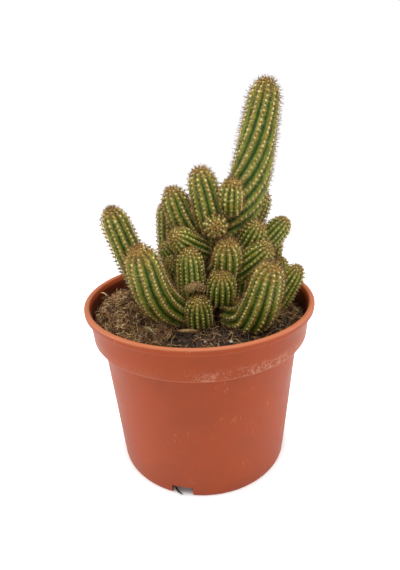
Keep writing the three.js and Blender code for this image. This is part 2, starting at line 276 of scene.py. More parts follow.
class Sheet:
    """Places nodes in a tree. A value given for a socket is linked if it is an output, else set."""

    def __init__(self, tree):
        self.tree = tree

    def feed(self, socket, value):
        if isinstance(value, bpy.types.NodeSocket):
            self.tree.links.new(value, socket)
        else:
            socket.default_value = value

    def node(self, kind, inputs=None, **settings):
        node = self.tree.nodes.new(kind)
        for name, value in settings.items():
            setattr(node, name, value)
        for key, value in (inputs or {}).items():
            self.feed(node.inputs[key], value)
        return node

    def math(self, operation, *values):
        node = self.node("ShaderNodeMath", dict(enumerate(values)), operation=operation)
        return node.outputs[0]

    def plus(self, first, second):
        return self.math("ADD", first, second)

    def minus(self, first, second):
        return self.math("SUBTRACT", first, second)

    def times(self, first, second):
        return self.math("MULTIPLY", first, second)

    def over(self, first, second):
        return self.math("DIVIDE", first, second)

    def vector(self, operation, *values):
        node = self.node("ShaderNodeVectorMath", dict(enumerate(values)), operation=operation)
        return node.outputs["Value" if operation in ("LENGTH", "DOT_PRODUCT") else "Vector"]

    def scaled(self, vector, scale):
        node = self.node("ShaderNodeVectorMath", {"Vector": vector, "Scale": scale}, operation="SCALE")
        return node.outputs["Vector"]

    def xyz(self, x, y, z):
        return self.node("ShaderNodeCombineXYZ", {"X": x, "Y": y, "Z": z}).outputs[0]

    def axes(self, vector):
        """The outputs X, Y and Z of a vector."""
        return self.node("ShaderNodeSeparateXYZ", {"Vector": vector}).outputs

    def place(self):
        """Where each element lies."""
        return self.node("GeometryNodeInputPosition").outputs[0]

    def reach(self, x, y):
        """The distance from the upright axis."""
        return self.vector("LENGTH", self.xyz(x, y, 0.0))

    def kept(self, geometry, name, value, kind="FLOAT"):
        """The geometry with a value kept on each of its points."""
        inputs = {"Geometry": geometry, "Name": name, "Value": value}
        settings = {"data_type": kind, "domain": "POINT"}
        return self.node("GeometryNodeStoreNamedAttribute", inputs, **settings).outputs[0]

    def recalled(self, name, kind="FLOAT"):
        """A value that was kept on the points."""
        return self.node("GeometryNodeInputNamedAttribute", {"Name": name}, data_type=kind).outputs[0]

    def moved(self, geometry, **where):
        return self.node("GeometryNodeSetPosition", {"Geometry": geometry, **where}).outputs[0]

    def copies(self, points, shape, turn, scale):
        """The shape set on every point, as real geometry."""
        inputs = {"Points": points, "Instance": shape, "Rotation": turn, "Scale": scale}
        instances = self.node("GeometryNodeInstanceOnPoints", inputs).outputs[0]
        return self.node("GeometryNodeRealizeInstances", {"Geometry": instances}).outputs[0]

    def smooth(self, geometry):
        """The geometry with smooth shading."""
        return self.node("GeometryNodeSetShadeSmooth", {"Geometry": geometry}).outputs[0]

    def turning(self, x, y, z):
        """A rotation from three angles."""
        return self.node("FunctionNodeEulerToRotation", {"Euler": self.xyz(x, y, z)}).outputs[0]

    def swept(self, start, end, angle):
        """A vector turned by an angle from the start's direction towards the end's."""
        along = self.scaled(start, self.math("COSINE", angle))
        return self.vector("ADD", along, self.scaled(end, self.math("SINE", angle)))

    def between(self, value, low, high, to_low=0.0, to_high=1.0, smooth=True):
        """value turned from the range low to high into another range, and held at its ends."""
        inputs = {"Value": value, "From Min": low, "From Max": high, "To Min": to_low, "To Max": to_high}
        kind = "SMOOTHSTEP" if smooth else "LINEAR"
        return self.node("ShaderNodeMapRange", inputs, interpolation_type=kind).outputs["Result"]

    def mix(self, share, first, second, blend="MIX"):
        """Two colours mixed; a share of 1 is all of the second."""
        node = self.node("ShaderNodeMix", data_type="RGBA", blend_type=blend)
        for index, value in ((0, share), (6, first), (7, second)):
            self.feed(node.inputs[index], value)
        return node.outputs[2]

    def noise(self, vector, scale, detail=3.0, roughness=0.5, distortion=0.0):
        inputs = {"Scale": scale, "Detail": detail, "Roughness": roughness, "Distortion": distortion}
        node = self.node("ShaderNodeTexNoise", inputs)
        self.feed(node.inputs["Vector"], vector)
        return node.outputs["Fac"]

    def turned(self, rotation, further):
        """A rotation followed by another in its own axes."""
        inputs = {"Rotation": rotation, "Rotate By": further}
        return self.node("FunctionNodeRotateRotation", inputs, rotation_space="LOCAL").outputs[0]

    def random(self, low, high, seed):
        """A number between low and high for each element, from a fixed seed."""
        node = self.node("FunctionNodeRandomValue", {2: low, 3: high, 8: seed}, data_type="FLOAT")
        return node.outputs[1]

    def random_vector(self, low, high, seed):
        """A vector between low and high for each element, from a fixed seed."""
        inputs = {0: low, 1: high, 8: seed}
        return self.node("FunctionNodeRandomValue", inputs, data_type="FLOAT_VECTOR").outputs[0]

    def group(self, tree, **inputs):
        """Another tree used inside this one; its inputs are named with _ for a space."""
        kind = "GeometryNodeGroup" if tree.bl_idname == "GeometryNodeTree" else "ShaderNodeGroup"
        node = self.node(kind, node_tree=tree)
        for name, value in inputs.items():
            self.feed(node.inputs[name.replace("_", " ")], value)
        return node.outputs


def new_tree(name, kind, inputs, outputs):
    """An empty node tree with named sockets: its sheet, its inputs by name and its output node."""
    tree = bpy.data.node_groups.new(name, kind)
    for socket_name, socket_type, default in inputs:
        socket = tree.interface.new_socket(name=socket_name, in_out="INPUT", socket_type=socket_type)
        if default is not None:
            socket.default_value = default
    for socket_name, socket_type in outputs:
        tree.interface.new_socket(name=socket_name, in_out="OUTPUT", socket_type=socket_type)
    sheet = Sheet(tree)
    given = {socket.name: socket for socket in sheet.node("NodeGroupInput").outputs if socket.name}
    return sheet, given, sheet.node("NodeGroupOutput")


def mesh_of(body, name):
    """The mesh of a finished bmesh, which is freed."""
    mesh = bpy.data.meshes.new(name)
    body.to_mesh(mesh)
    body.free()
    return mesh


def grown_mesh(tree, start, **values):
    """The plain mesh that a Geometry Nodes tree makes from a start mesh and its named inputs."""
    carrier = bpy.data.objects.new("carrier", start)
    bpy.context.scene.collection.objects.link(carrier)
    modifier = carrier.modifiers.new("growth", "NODES")
    modifier.node_group = tree
    sockets = {
        item.name: item.identifier
        for item in tree.interface.items_tree
        if item.item_type == "SOCKET" and item.in_out == "INPUT"
    }
    for name, value in values.items():
        modifier[sockets[name.replace("_", " ")]] = value
    evaluated = carrier.evaluated_get(bpy.context.evaluated_depsgraph_get())
    mesh = bpy.data.meshes.new_from_object(evaluated)
    carrier.modifiers.remove(modifier)
    bpy.data.objects.remove(carrier)
    if len(mesh.materials) and mesh.materials[0] is None:
        mesh.materials.pop(index=0)
    return mesh


def add_piece(name, mesh, nodes=()):
    """Puts a finished mesh in the scene as a piece that stands for these CAD nodes."""
    if not mesh.polygons:
        raise RuntimeError(f"{name} came out empty")
    mesh.name = name
    piece = bpy.data.objects.new(name, mesh)
    bpy.context.scene.collection.objects.link(piece)
    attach(piece, BODY)
    if nodes:
        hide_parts(*nodes)
    return piece


# ---- Shared shader groups ----


made_once = {}


def once(name, build, *details):
    """What build makes for a name, made the first time and then used again."""
    if name not in made_once:
        made_once[name] = build(name, *details)
    return made_once[name]


def build_mottle(name):
    """Patches of two sizes over a surface, as a mask from 0 to 1."""
    inputs = [("Patch size", FLOAT, 5 * MM), ("Speck size", FLOAT, 1 * MM), ("Speck share", FLOAT, 0.4)]
    sheet, given, out = new_tree(name, "ShaderNodeTree", inputs, [("Mask", FLOAT)])
    place = sheet.node("ShaderNodeTexCoord").outputs["Object"]
    patches = sheet.noise(place, sheet.over(1.0, given["Patch size"]), 3.0, 0.6)
    specks = sheet.noise(place, sheet.over(1.0, given["Speck size"]), 2.0, 0.6)
    both = sheet.node(
        "ShaderNodeMix", {0: given["Speck share"], 2: patches, 3: specks}, data_type="FLOAT"
    ).outputs[0]
    sheet.feed(out.inputs["Mask"], sheet.between(both, 0.3, 0.7))
    return sheet.tree


def build_grain(name):
    """Fine unevenness for a Bump node's height."""
    inputs = [("Grain size", FLOAT, 0.5 * MM), ("Swell size", FLOAT, 6 * MM), ("Swell share", FLOAT, 0.3)]
    sheet, given, out = new_tree(name, "ShaderNodeTree", inputs, [("Height", FLOAT)])
    place = sheet.node("ShaderNodeTexCoord").outputs["Object"]
    grain = sheet.noise(place, sheet.over(1.0, given["Grain size"]), 2.0, 0.6)
    swell = sheet.noise(place, sheet.over(1.0, given["Swell size"]), 2.0, 0.5)
    both = sheet.node("ShaderNodeMix", {0: given["Swell share"], 2: grain, 3: swell}, data_type="FLOAT")
    sheet.feed(out.inputs["Height"], both.outputs[0])
    return sheet.tree


def build_dust(name):
    """Loose specks and rubbed scuffs on a surface, as a mask from 0 to 1."""
    inputs = [("Speck size", FLOAT, 0.8 * MM), ("Amount", FLOAT, 0.2), ("Stretch", VECTOR, (1.0, 1.0, 1.0))]
    sheet, given, out = new_tree(name, "ShaderNodeTree", inputs, [("Mask", FLOAT)])
    place = sheet.node("ShaderNodeTexCoord").outputs["Object"]
    stretched = sheet.vector("MULTIPLY", place, given["Stretch"])
    specks = sheet.noise(stretched, sheet.over(1.0, given["Speck size"]), 4.0, 0.65)
    patches = sheet.noise(place, sheet.over(0.08, given["Speck size"]), 2.0, 0.5)
    cut = sheet.minus(0.9, given["Amount"])
    level = sheet.plus(specks, sheet.times(sheet.minus(patches, 0.5), 0.6))
    sheet.feed(out.inputs["Mask"], sheet.between(level, cut, sheet.plus(cut, 0.12)))
    return sheet.tree


def new_material(name, roughness=0.6):
    """An empty procedural material: its sheet and its Principled shader."""
    material = bpy.data.materials.new(name)
    material.use_nodes = True
    sheet = Sheet(material.node_tree)
    shader = material.node_tree.nodes["Principled BSDF"]
    shader.inputs["Roughness"].default_value = roughness
    return material, sheet, shader


def mottle(sheet, patch, speck, share):
    tree = once("mottle", build_mottle)
    return sheet.group(tree, Patch_size=patch, Speck_size=speck, Speck_share=share)["Mask"]


def dust(sheet, speck, amount, stretch=(1.0, 1.0, 1.0)):
    tree = once("dust and scuffs", build_dust)
    return sheet.group(tree, Speck_size=speck, Amount=amount, Stretch=stretch)["Mask"]


def bump(sheet, shader, grain, swell, share, distance, strength=1.0):
    """Fine relief on a material, from the shared grain group."""
    tree = once("grain", build_grain)
    height = sheet.group(tree, Grain_size=grain, Swell_size=swell, Swell_share=share)["Height"]
    node = sheet.node("ShaderNodeBump", {"Height": height, "Distance": distance, "Strength": strength})
    sheet.feed(shader.inputs["Normal"], node.outputs["Normal"])


# Finishes of thin bristles and fibres: a colour and a roughness.
STRAND_FINISHES = {
    "crumb_dark": ("160e09", 0.85),
    "crumb_brown": ("3a2617", 0.85),
    "crumb_pale": ("a08668", 0.85),
    "fibre_dark": ("3d2918", 0.7),
    "fibre_brown": ("74502e", 0.7),
    "fibre_tan": ("c9a26c", 0.7),
    "coir_dark": ("523820", 0.7),
    "coir_tan": ("9c7042", 0.7),
    "coir_straw": ("e4c28a", 0.7),
    "wool_cream": ("e6d88e", 0.9),
    "wool_tan": ("c4a852", 0.9),
    "bristle_pale": ("e6d49a", 0.55),
    "bristle_golden": ("d0aa55", 0.55),
    "bristle_russet": ("a8702c", 0.55),
    "bristle_dark": ("4c3420", 0.55),
}


class Finish(NamedTuple):
    """Crumbly stuff of two mottled colours; its lengths are in millimetres."""

    dark: str
    light: str
    patch: float
    speck: float
    roughness: float
    relief: float


FINISHES = {
    "damp_compost": Finish("120c09", "21160e", 3, 0.7, 0.85, 0.5),
    # The coir core is painted near-black: painted shade for the gaps between the fibres that lie over it.
    "coir_core": Finish("170f09", "3f2c1a", 3, 0.6, 0.95, 0.5),
    "dried_skin": Finish("5a4428", "a08350", 2, 0.5, 0.9, 0.3),
    "perlite_white": Finish("a39b8c", "e6e2d8", 1, 0.3, 0.9, 0.2),
    "bark": Finish("6e5232", "b8965e", 1.5, 0.4, 0.9, 0.3),
    "root_skin": Finish("1f1712", "4b3a2b", 1.5, 0.4, 0.95, 0.2),
    "straw": Finish("a58a55", "d8c596", 2, 0.4, 0.7, 0.1),
}


def build_strand(name):
    code, roughness = STRAND_FINISHES[name]
    material, sheet, shader = new_material(name, roughness)
    shader.inputs["Base Color"].default_value = from_hex(code)
    mask = mottle(sheet, 2 * MM, 0.4 * MM, 0.5)
    sheet.feed(
        shader.inputs["Roughness"], sheet.between(mask, 0.0, 1.0, roughness - 0.12, roughness + 0.12)
    )
    return material


def strand(name):
    """A thin bristle's or fibre's material: one colour of its own, with uneven gloss."""
    return once(name, build_strand)


def build_finish(name):
    dark, light, patch, speck, roughness, relief = FINISHES[name]
    material, sheet, shader = new_material(name, roughness)
    mask = mottle(sheet, patch * MM, speck * MM, 0.5)
    sheet.feed(shader.inputs["Base Color"], sheet.mix(mask, from_hex(dark), from_hex(light)))
    bump(sheet, shader, speck * MM, patch * MM, 0.3, relief * MM)
    return material


def finish(name):
    """The material of one of the crumbly finishes."""
    return once(name, build_finish)


# ---- Pot ----


def rounded_outline(outline, steps=4):
    """The outline in metres with each corner drawn as a short curve of its own rounding."""
    points = [Vector((radius, height)) for radius, height, _ in outline]
    smooth = [points[0] * MM]
    for before, corner, after, (_, _, rounding) in zip(points, points[1:], points[2:], outline[1:-1]):
        reach = min(rounding, 0.45 * (before - corner).length, 0.45 * (after - corner).length)
        start = corner + (before - corner).normalized() * reach
        end = corner + (after - corner).normalized() * reach
        for step in range(steps + 1):
            share = step / steps
            smooth.append((start.lerp(corner, share).lerp(corner.lerp(end, share), share)) * MM)
    smooth.append(points[-1] * MM)
    return smooth


def split_long_runs(outline, longest):
    """The same outline with extra points, so that no run is longer than this."""
    filled = [outline[0]]
    for point in outline[1:]:
        pieces = max(1, math.ceil((point - filled[-1]).length / longest))
        start = filled[-1]
        filled += [start.lerp(point, step / pieces) for step in range(1, pieces + 1)]
    return filled


def lathe(outline, segments, wobble=None):
    """A closed turned mesh from an outline that starts and ends on the axis."""
    body = bmesh.new()
    rings = []
    for radius, height in outline:
        if radius < 1e-7:
            rings.append([body.verts.new((0, 0, height))])
            continue
        turns = [2 * math.pi * i / segments for i in range(segments)]
        rings.append([body.verts.new((radius * math.cos(a), radius * math.sin(a), height)) for a in turns])
    for lower, upper in zip(rings, rings[1:]):
        for i in range(segments):
            j = (i + 1) % segments
            corners = [
                lower[i % len(lower)], lower[j % len(lower)], upper[j % len(upper)], upper[i % len(upper)]
            ]
            body.faces.new(list(dict.fromkeys(corners)))
    if wobble:
        for vertex in body.verts:
            vertex.co = wobble(vertex.co)
    bmesh.ops.recalc_face_normals(body, faces=body.faces)
    return mesh_of(body, "turned")


def soft_box(size, place, bevel):
    """A box with rounded edges, placed by a matrix."""
    body = bmesh.new()
    bmesh.ops.create_cube(body, size=1.0, matrix=place @ Matrix.Diagonal((*size, 1.0)))
    bmesh.ops.bevel(body, geom=body.edges[:], offset=bevel, segments=3, affect="EDGES", profile=0.5)
    return mesh_of(body, "soft box")


def joined_mesh(meshes, name):
    """Several meshes as one."""
    body = bmesh.new()
    for mesh in meshes:
        body.from_mesh(mesh)
    return mesh_of(body, name)


def cut_from(mesh, cutter):
    """mesh with the cutter's volume taken away."""
    holder, tool = bpy.data.objects.new("holder", mesh), bpy.data.objects.new("tool", cutter)
    for item in (holder, tool):
        bpy.context.scene.collection.objects.link(item)
    boolean = holder.modifiers.new("cut", "BOOLEAN")
    boolean.object, boolean.operation, boolean.solver = tool, "DIFFERENCE", "EXACT"
    evaluated = holder.evaluated_get(bpy.context.evaluated_depsgraph_get())
    result = bpy.data.meshes.new_from_object(evaluated)
    holder.modifiers.remove(boolean)
    bpy.data.objects.remove(holder)
    bpy.data.objects.remove(tool)
    return result


def smooth_shaded(mesh, sharp_angle=35):
    """Smooth shading, with a crease at every edge sharper than the angle in degrees."""
    mesh.shade_smooth()
    mesh.set_sharp_from_angle(angle=math.radians(sharp_angle))
    return mesh


def pot_material(settings):
    material, sheet, shader = new_material("terracotta_plastic", 0.42)
    place = sheet.node("ShaderNodeTexCoord").outputs["Object"]
    axes = sheet.axes(place)
    x, y, z = axes["X"], axes["Y"], axes["Z"]
    radius = sheet.reach(x, y)

    patches = mottle(sheet, 22 * MM, 3 * MM, 0.3)
    shader.inputs["Specular IOR Level"].default_value = 0.25
    deep = tuple(0.85 * part for part in settings.plastic[:3]) + (1.0,)
    colour = sheet.mix(patches, deep, settings.plastic[:])

    # Dried water marks gather in a ragged band just above the collar's lower edge, most at the
    # front right.
    band = sheet.times(
        sheet.between(z, 73.5 * MM, 75 * MM), sheet.between(z, 76 * MM, 82 * MM, 1.0, 0.0)
    )
    level = sheet.vector("NORMALIZE", sheet.xyz(x, y, 0.0))
    towards = sheet.vector("DOT_PRODUCT", level, (0.5, -0.87, 0.0))
    side = sheet.between(towards, 0.72, 0.99, 0.12, 1.0)
    marks = dust(sheet, 1.1 * MM, 0.42)
    bloom = sheet.times(sheet.times(band, side), marks)
    colour = sheet.mix(sheet.times(bloom, 0.4), colour, settings.bloom[:])

    # Painted highlight: a thin pale line along the collar's lower edge, where the light catches it.
    below = sheet.between(z, 73.7 * MM, 74.3 * MM)
    edge = sheet.times(below, sheet.between(z, 74.6 * MM, 75.3 * MM, 1.0, 0.0))
    colour = sheet.mix(sheet.times(edge, 0.55), colour, settings.plastic_worn_and_sheen[:])

    # Thin upright scuffs and pale specks on the wall.
    scuffs = dust(sheet, 0.9 * MM, 0.235, (1.0, 1.0, 0.22))
    colour = sheet.mix(sheet.times(scuffs, 0.6), colour, settings.plastic_worn_and_sheen[:])

    # Painted highlight: a pale band round the top of the rim, for the light on the lip.
    rim = sheet.between(z, 91.2 * MM, 92.4 * MM)
    colour = sheet.mix(sheet.times(rim, 0.6), colour, settings.plastic_worn_and_sheen[:])

    # Painted shade: the inner wall is darkened, most near the soil, for the shade inside the pot.
    inside = sheet.times(
        sheet.between(radius, 56.5 * MM, 56.6 * MM, 1.0, 0.0),
        sheet.between(z, 75.6 * MM, 76.2 * MM),
    )
    inner_shade_fade = sheet.between(z, 76 * MM, 92 * MM, 1.0, 0.75)
    colour = sheet.mix(sheet.times(inside, inner_shade_fade), colour, settings.plastic_inside_shade[:])

    sheet.feed(shader.inputs["Base Color"], colour)
    worn = sheet.math("MAXIMUM", bloom, scuffs)
    gloss = sheet.plus(sheet.between(patches, 0.0, 1.0, 0.36, 0.46), sheet.times(worn, 0.25))
    sheet.feed(shader.inputs["Roughness"], gloss)
    bump(sheet, shader, 0.7 * MM, 9 * MM, 0.35, 0.05 * MM, 0.5)
    return material


# The small ribs that stand on both sides of each drain slot.
RIB_SIZE = (1.0 * MM, 0.9 * MM, 5.6 * MM)
RIB_PLACE = (46.75 * MM, 0.0, 3.4 * MM)
RIB_ASIDE, RIB_LEAN, RIB_SPLAY = math.radians(9.6), math.radians(4), 0.25
SLOT_DEPTH, SLOT_RADIUS = 12 * MM, 45 * MM


class CactusBuildPot(bpy.types.Operator):
    """Turn the pot's wall, cut the drain slots and add the small ribs beside them"""

    bl_idname = "cactus.build_pot"
    bl_label = "Pot"

    def execute(self, context):
        settings = context.scene.cactus_pot
        outline = split_long_runs(rounded_outline(POT_OUTLINE), 4 * MM)
        wall = lathe(outline, settings.segments)
        slots, ribs = [], []
        for angle in NOTCH_ANGLES:
            turn = Matrix.Rotation(angle, 4, "Z")
            size = (SLOT_DEPTH, settings.notch_width, 2 * settings.notch_height)
            slots.append(soft_box(size, turn @ Matrix.Translation((SLOT_RADIUS, 0, 0)), 0.5 * MM))
            for side in (-1, 1):
                turn = Matrix.Rotation(angle + side * RIB_ASIDE, 4, "Z")
                lean = Matrix.Rotation(RIB_LEAN, 4, "Y") @ Matrix.Rotation(side * RIB_SPLAY, 4, "X")
                ribs.append(soft_box(RIB_SIZE, turn @ Matrix.Translation(RIB_PLACE) @ lean, 0.3 * MM))
        shell = cut_from(wall, joined_mesh(slots, "slots"))
        mesh = smooth_shaded(joined_mesh([shell, *ribs], "pot_shell"))
        mesh.materials.append(pot_material(settings))
        add_piece("pot_shell", mesh, ["pot"])
        return {"FINISHED"}


# ---- Soil ----


TONE_INPUTS = [("Dark", MATERIAL, None), ("Middle", MATERIAL, None), ("Pale", MATERIAL, None)]

# The share of a random draw at which each tone starts.
CRUMB_TONES = (("Dark", 0.0), ("Middle", 0.42), ("Pale", 0.955))
FIBRE_TONES = (("Dark", 0.0), ("Middle", 0.35), ("Pale", 0.74))

FIBRE_POINTS = 8
WALL_CLEARANCE = 0.6 * MM
WAVE_DENSITY = 140.0  # bends of a fibre in a metre


def strewn(sheet, given, chosen):
    """The node that strews points over the chosen faces of the tree's mesh."""
    inputs = {"Mesh": given["Geometry"], "Selection": chosen}
    inputs |= {"Density": given["Count"], "Seed": given["Seed"]}
    return sheet.node("GeometryNodeDistributePointsOnFaces", inputs)


def scatter_tree(name):
    """Geometry Nodes: crumbs strewn over the upward faces of a mesh."""
    inputs = [
        ("Geometry", GEOMETRY, None),
        ("Count", FLOAT, 600000.0),
        ("Size", FLOAT, 0.6 * MM),
        ("Seed", INTEGER, 1),
        ("Lowest", FLOAT, 0.076),
        *TONE_INPUTS,
    ]
    sheet, given, out = new_tree(name, "GeometryNodeTree", inputs, [("Geometry", GEOMETRY)])
    normal = sheet.node("GeometryNodeInputNormal").outputs[0]
    up = sheet.axes(normal)["Z"]
    above = sheet.math("GREATER_THAN", sheet.axes(sheet.place())["Z"], given["Lowest"])
    chosen = sheet.times(sheet.math("GREATER_THAN", up, 0.4), above)
    spread = strewn(sheet, given, chosen)
    ball = sheet.node("GeometryNodeMeshIcoSphere", {"Radius": 1.0, "Subdivisions": 1})
    kept = sheet.kept(spread.outputs["Points"], "tone", sheet.random(0.0, 1.0, 11))
    turn = sheet.random_vector((0, 0, 0), (6.28, 6.28, 6.28), 12)
    turn = sheet.node("FunctionNodeEulerToRotation", {"Euler": turn}).outputs[0]
    stretch = sheet.random_vector((0.5, 0.5, 0.4), (1.5, 1.3, 1.0), 13)
    growth = sheet.math("POWER", sheet.random(0.55, 1.35, 14), 2.0)
    size = sheet.scaled(stretch, sheet.times(given["Size"], growth))
    crumbs = sheet.copies(kept, ball.outputs["Mesh"], turn, size)
    sheet.feed(out.inputs["Geometry"], toned(sheet, crumbs, given, CRUMB_TONES))
    return sheet.tree


def toned(sheet, geometry, given, steps):
    """Sets materials by the stored tone: each from its own level upwards."""
    tone = sheet.recalled("tone")
    for material, level in steps:
        chosen = sheet.math("GREATER_THAN", tone, level - 0.001)
        inputs = {"Geometry": geometry, "Selection": chosen, "Material": given[material]}
        if level == 0.0:
            del inputs["Selection"]
        geometry = sheet.node("GeometryNodeSetMaterial", inputs).outputs[0]
    return geometry


def fibre_tree(name):
    """Geometry Nodes: thin curling fibres that lie over the upward faces of a mesh."""
    inputs = [
        ("Geometry", GEOMETRY, None),
        ("Count", FLOAT, 200000.0),
        ("Shortest", FLOAT, 5 * MM),
        ("Longest", FLOAT, 15 * MM),
        ("Radius", FLOAT, 0.13 * MM),
        ("Curl", FLOAT, 3 * MM),
        ("Lift", FLOAT, 0.6 * MM),
        ("Tilt", FLOAT, 0.3),
        ("Seed", INTEGER, 1),
        ("Lowest", FLOAT, 77 * MM),
        ("Patch centre", VECTOR, (0.0, 0.0, 0.0)),
        ("Patch radius", FLOAT, 1.0),
        *TONE_INPUTS,
    ]
    sheet, given, out = new_tree(name, "GeometryNodeTree", inputs, [("Geometry", GEOMETRY)])
    normal = sheet.node("GeometryNodeInputNormal").outputs[0]
    place = sheet.place()
    up = sheet.axes(normal)["Z"]
    height = sheet.axes(place)["Z"]
    away = sheet.vector("LENGTH", sheet.vector("SUBTRACT", place, given["Patch centre"]))
    chosen = sheet.times(
        sheet.math("GREATER_THAN", up, 0.1), sheet.math("GREATER_THAN", height, given["Lowest"])
    )
    chosen = sheet.times(chosen, sheet.math("LESS_THAN", away, given["Patch radius"]))
    spread = strewn(sheet, given, chosen)
    raised = sheet.moved(
        spread.outputs["Points"], Offset=sheet.scaled(spread.outputs["Normal"], given["Lift"])
    )
    kept = sheet.kept(raised, "tone", sheet.random(0.0, 1.0, 21))
    line = sheet.node("GeometryNodeCurvePrimitiveLine", {"Start": (-0.5, 0, 0), "End": (0.5, 0, 0)})
    inputs = {"Curve": line.outputs[0], "Count": FIBRE_POINTS}
    strand = sheet.node("GeometryNodeResampleCurve", inputs).outputs[0]
    tilt = sheet.times(given["Tilt"], sheet.random(-1.0, 1.0, 22))
    heading = sheet.turning(0.0, tilt, sheet.random(0.0, 6.283, 23))
    turned = sheet.turned(spread.outputs["Rotation"], heading)
    inputs = {0: sheet.random(0.0, 1.0, 24), 2: given["Shortest"], 3: given["Longest"]}
    reach = sheet.node("ShaderNodeMix", inputs, data_type="FLOAT")
    strands = sheet.copies(kept, strand, turned, sheet.xyz(reach.outputs[0], 1.0, 1.0))

    tone = sheet.recalled("tone")
    own = sheet.vector("ADD", place, sheet.scaled(sheet.xyz(tone, tone, tone), 0.37))
    inputs = {"Vector": own, "Scale": WAVE_DENSITY, "Detail": 1.5, "Roughness": 0.5}
    wave = sheet.node("ShaderNodeTexNoise", inputs, noise_dimensions="3D").outputs["Color"]
    along = sheet.node("GeometryNodeSplineParameter").outputs["Factor"]
    swing = sheet.scaled(sheet.vector("SUBTRACT", wave, (0.5, 0.5, 0.46)), sheet.times(given["Curl"], 2.0))
    swung = sheet.vector("ADD", place, swing)
    part = sheet.axes(swung)
    from_axis = sheet.reach(part["X"], part["Y"])
    kept_in = sheet.math("MINIMUM", sheet.over(WALL_INSIDE - WALL_CLEARANCE, from_axis), 1.0)
    inside = sheet.xyz(
        sheet.times(part["X"], kept_in),
        sheet.times(part["Y"], kept_in),
        sheet.math("MAXIMUM", part["Z"], given["Lowest"]),
    )
    bent = sheet.moved(strands, Position=inside)
    off_middle = sheet.math("ABSOLUTE", sheet.minus(along, 0.5))
    taper = sheet.times(given["Radius"], sheet.between(off_middle, 0.25, 0.5, 1.0, 0.35))
    taper = sheet.times(taper, sheet.between(tone, 0.0, 1.0, 1.35, 0.75, smooth=False))
    section = sheet.node("GeometryNodeCurvePrimitiveCircle", {"Resolution": 3, "Radius": 1.0}).outputs[0]
    inputs = {"Curve": bent, "Profile Curve": section, "Scale": taper, "Fill Caps": True}
    tube = sheet.node("GeometryNodeCurveToMesh", inputs).outputs[0]
    sheet.feed(out.inputs["Geometry"], toned(sheet, sheet.smooth(tube), given, FIBRE_TONES))
    return sheet.tree


def soil_mesh():
    """The bed of compost: sides that fit the pot and a rough, slightly crowned top."""
    low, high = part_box("soil")
    rim = high.x
    sides = [(0, low.z), (43.5 * MM, low.z), (50.4 * MM, 74.9 * MM), (rim, 76.2 * MM)]
    top = [(rim - 0.9 * MM * step, SOIL_EDGE_LEVEL) for step in range(0, 61)]

    def roughen(place):
        if place.z < SOIL_EDGE_LEVEL - 0.1 * MM:
            return place
        lumps = noise.fractal(place * 260, 0.9, 2.1, 4)
        inset = min(1.0, (rim - math.hypot(place.x, place.y)) / (2 * MM))
        return Vector(
            (place.x, place.y, soil_height(place.x, place.y) + (0.2 + 0.8 * inset) * 1.1 * MM * lumps)
        )

    outline = [Vector(point) for point in [*sides, *top, (0, SOIL_EDGE_LEVEL)]]
    return lathe(outline, 180, roughen)


class CactusBuildSoil(bpy.types.Operator):
    """Lay the compost with its crumbs and loose fibres"""

    bl_idname = "cactus.build_soil"
    bl_label = "Soil"

    def execute(self, context):
        settings = context.scene.cactus_soil
        bed = soil_mesh()
        bed.shade_smooth()
        bed.materials.append(finish("damp_compost"))
        crumbs = grown_mesh(
            scatter_tree("scattered crumbs"),
            bed.copy(),
            Count=float(settings.crumb_count),
            Size=settings.crumb_size,
            Seed=4,
            Lowest=76 * MM,
            Dark=strand("crumb_dark"),
            Middle=strand("crumb_brown"),
            Pale=strand("crumb_pale"),
        )
        fibres = grown_mesh(
            fibre_tree("scattered fibres"),
            bed.copy(),
            Count=settings.fibre_count,
            Shortest=3 * MM,
            Longest=9 * MM,
            Radius=settings.fibre_radius,
            Curl=3.4 * MM,
            Lift=1.1 * MM,
            Tilt=0.35,
            Seed=7,
            Dark=strand("fibre_dark"),
            Middle=strand("fibre_brown"),
            Pale=strand("fibre_tan"),
        )
        add_piece("soil_bed", bed, ["soil"])
        add_piece("soil_crumbs", crumbs)
        add_piece("soil_fibres", fibres)
        return {"FINISHED"}


# ---- Coir mat ----

COIR_TUFTS = [
    ("coir_tuft_left", (-27, -25, 80), 13 * MM),
    ("coir_tuft_right", (43, -4, 79), 9 * MM),
]


def mound_mesh():
    """The hump of coir between the left wall and the stems."""
    body = bmesh.new()
    bmesh.ops.create_icosphere(body, subdivisions=5, radius=1.0)
    centre, half_sizes = Vector(MOUND_CENTRE), MOUND_HALF_SIZES
    for vertex in body.verts:
        lumps = 1 + 0.22 * noise.fractal(vertex.co * 2.8 + Vector((3, 1, 7)), 0.8, 2.0, 4)
        place = centre + Vector(part * size * lumps for part, size in zip(vertex.co, half_sizes))
        reach = math.hypot(place.x, place.y)
        if reach > WALL_INSIDE - 1.5 * MM:
            place.xy = place.xy * ((WALL_INSIDE - 1.5 * MM) / reach)
        place.z = max(place.z, 77.5 * MM)
        vertex.co = place
    return mesh_of(body, "mound")


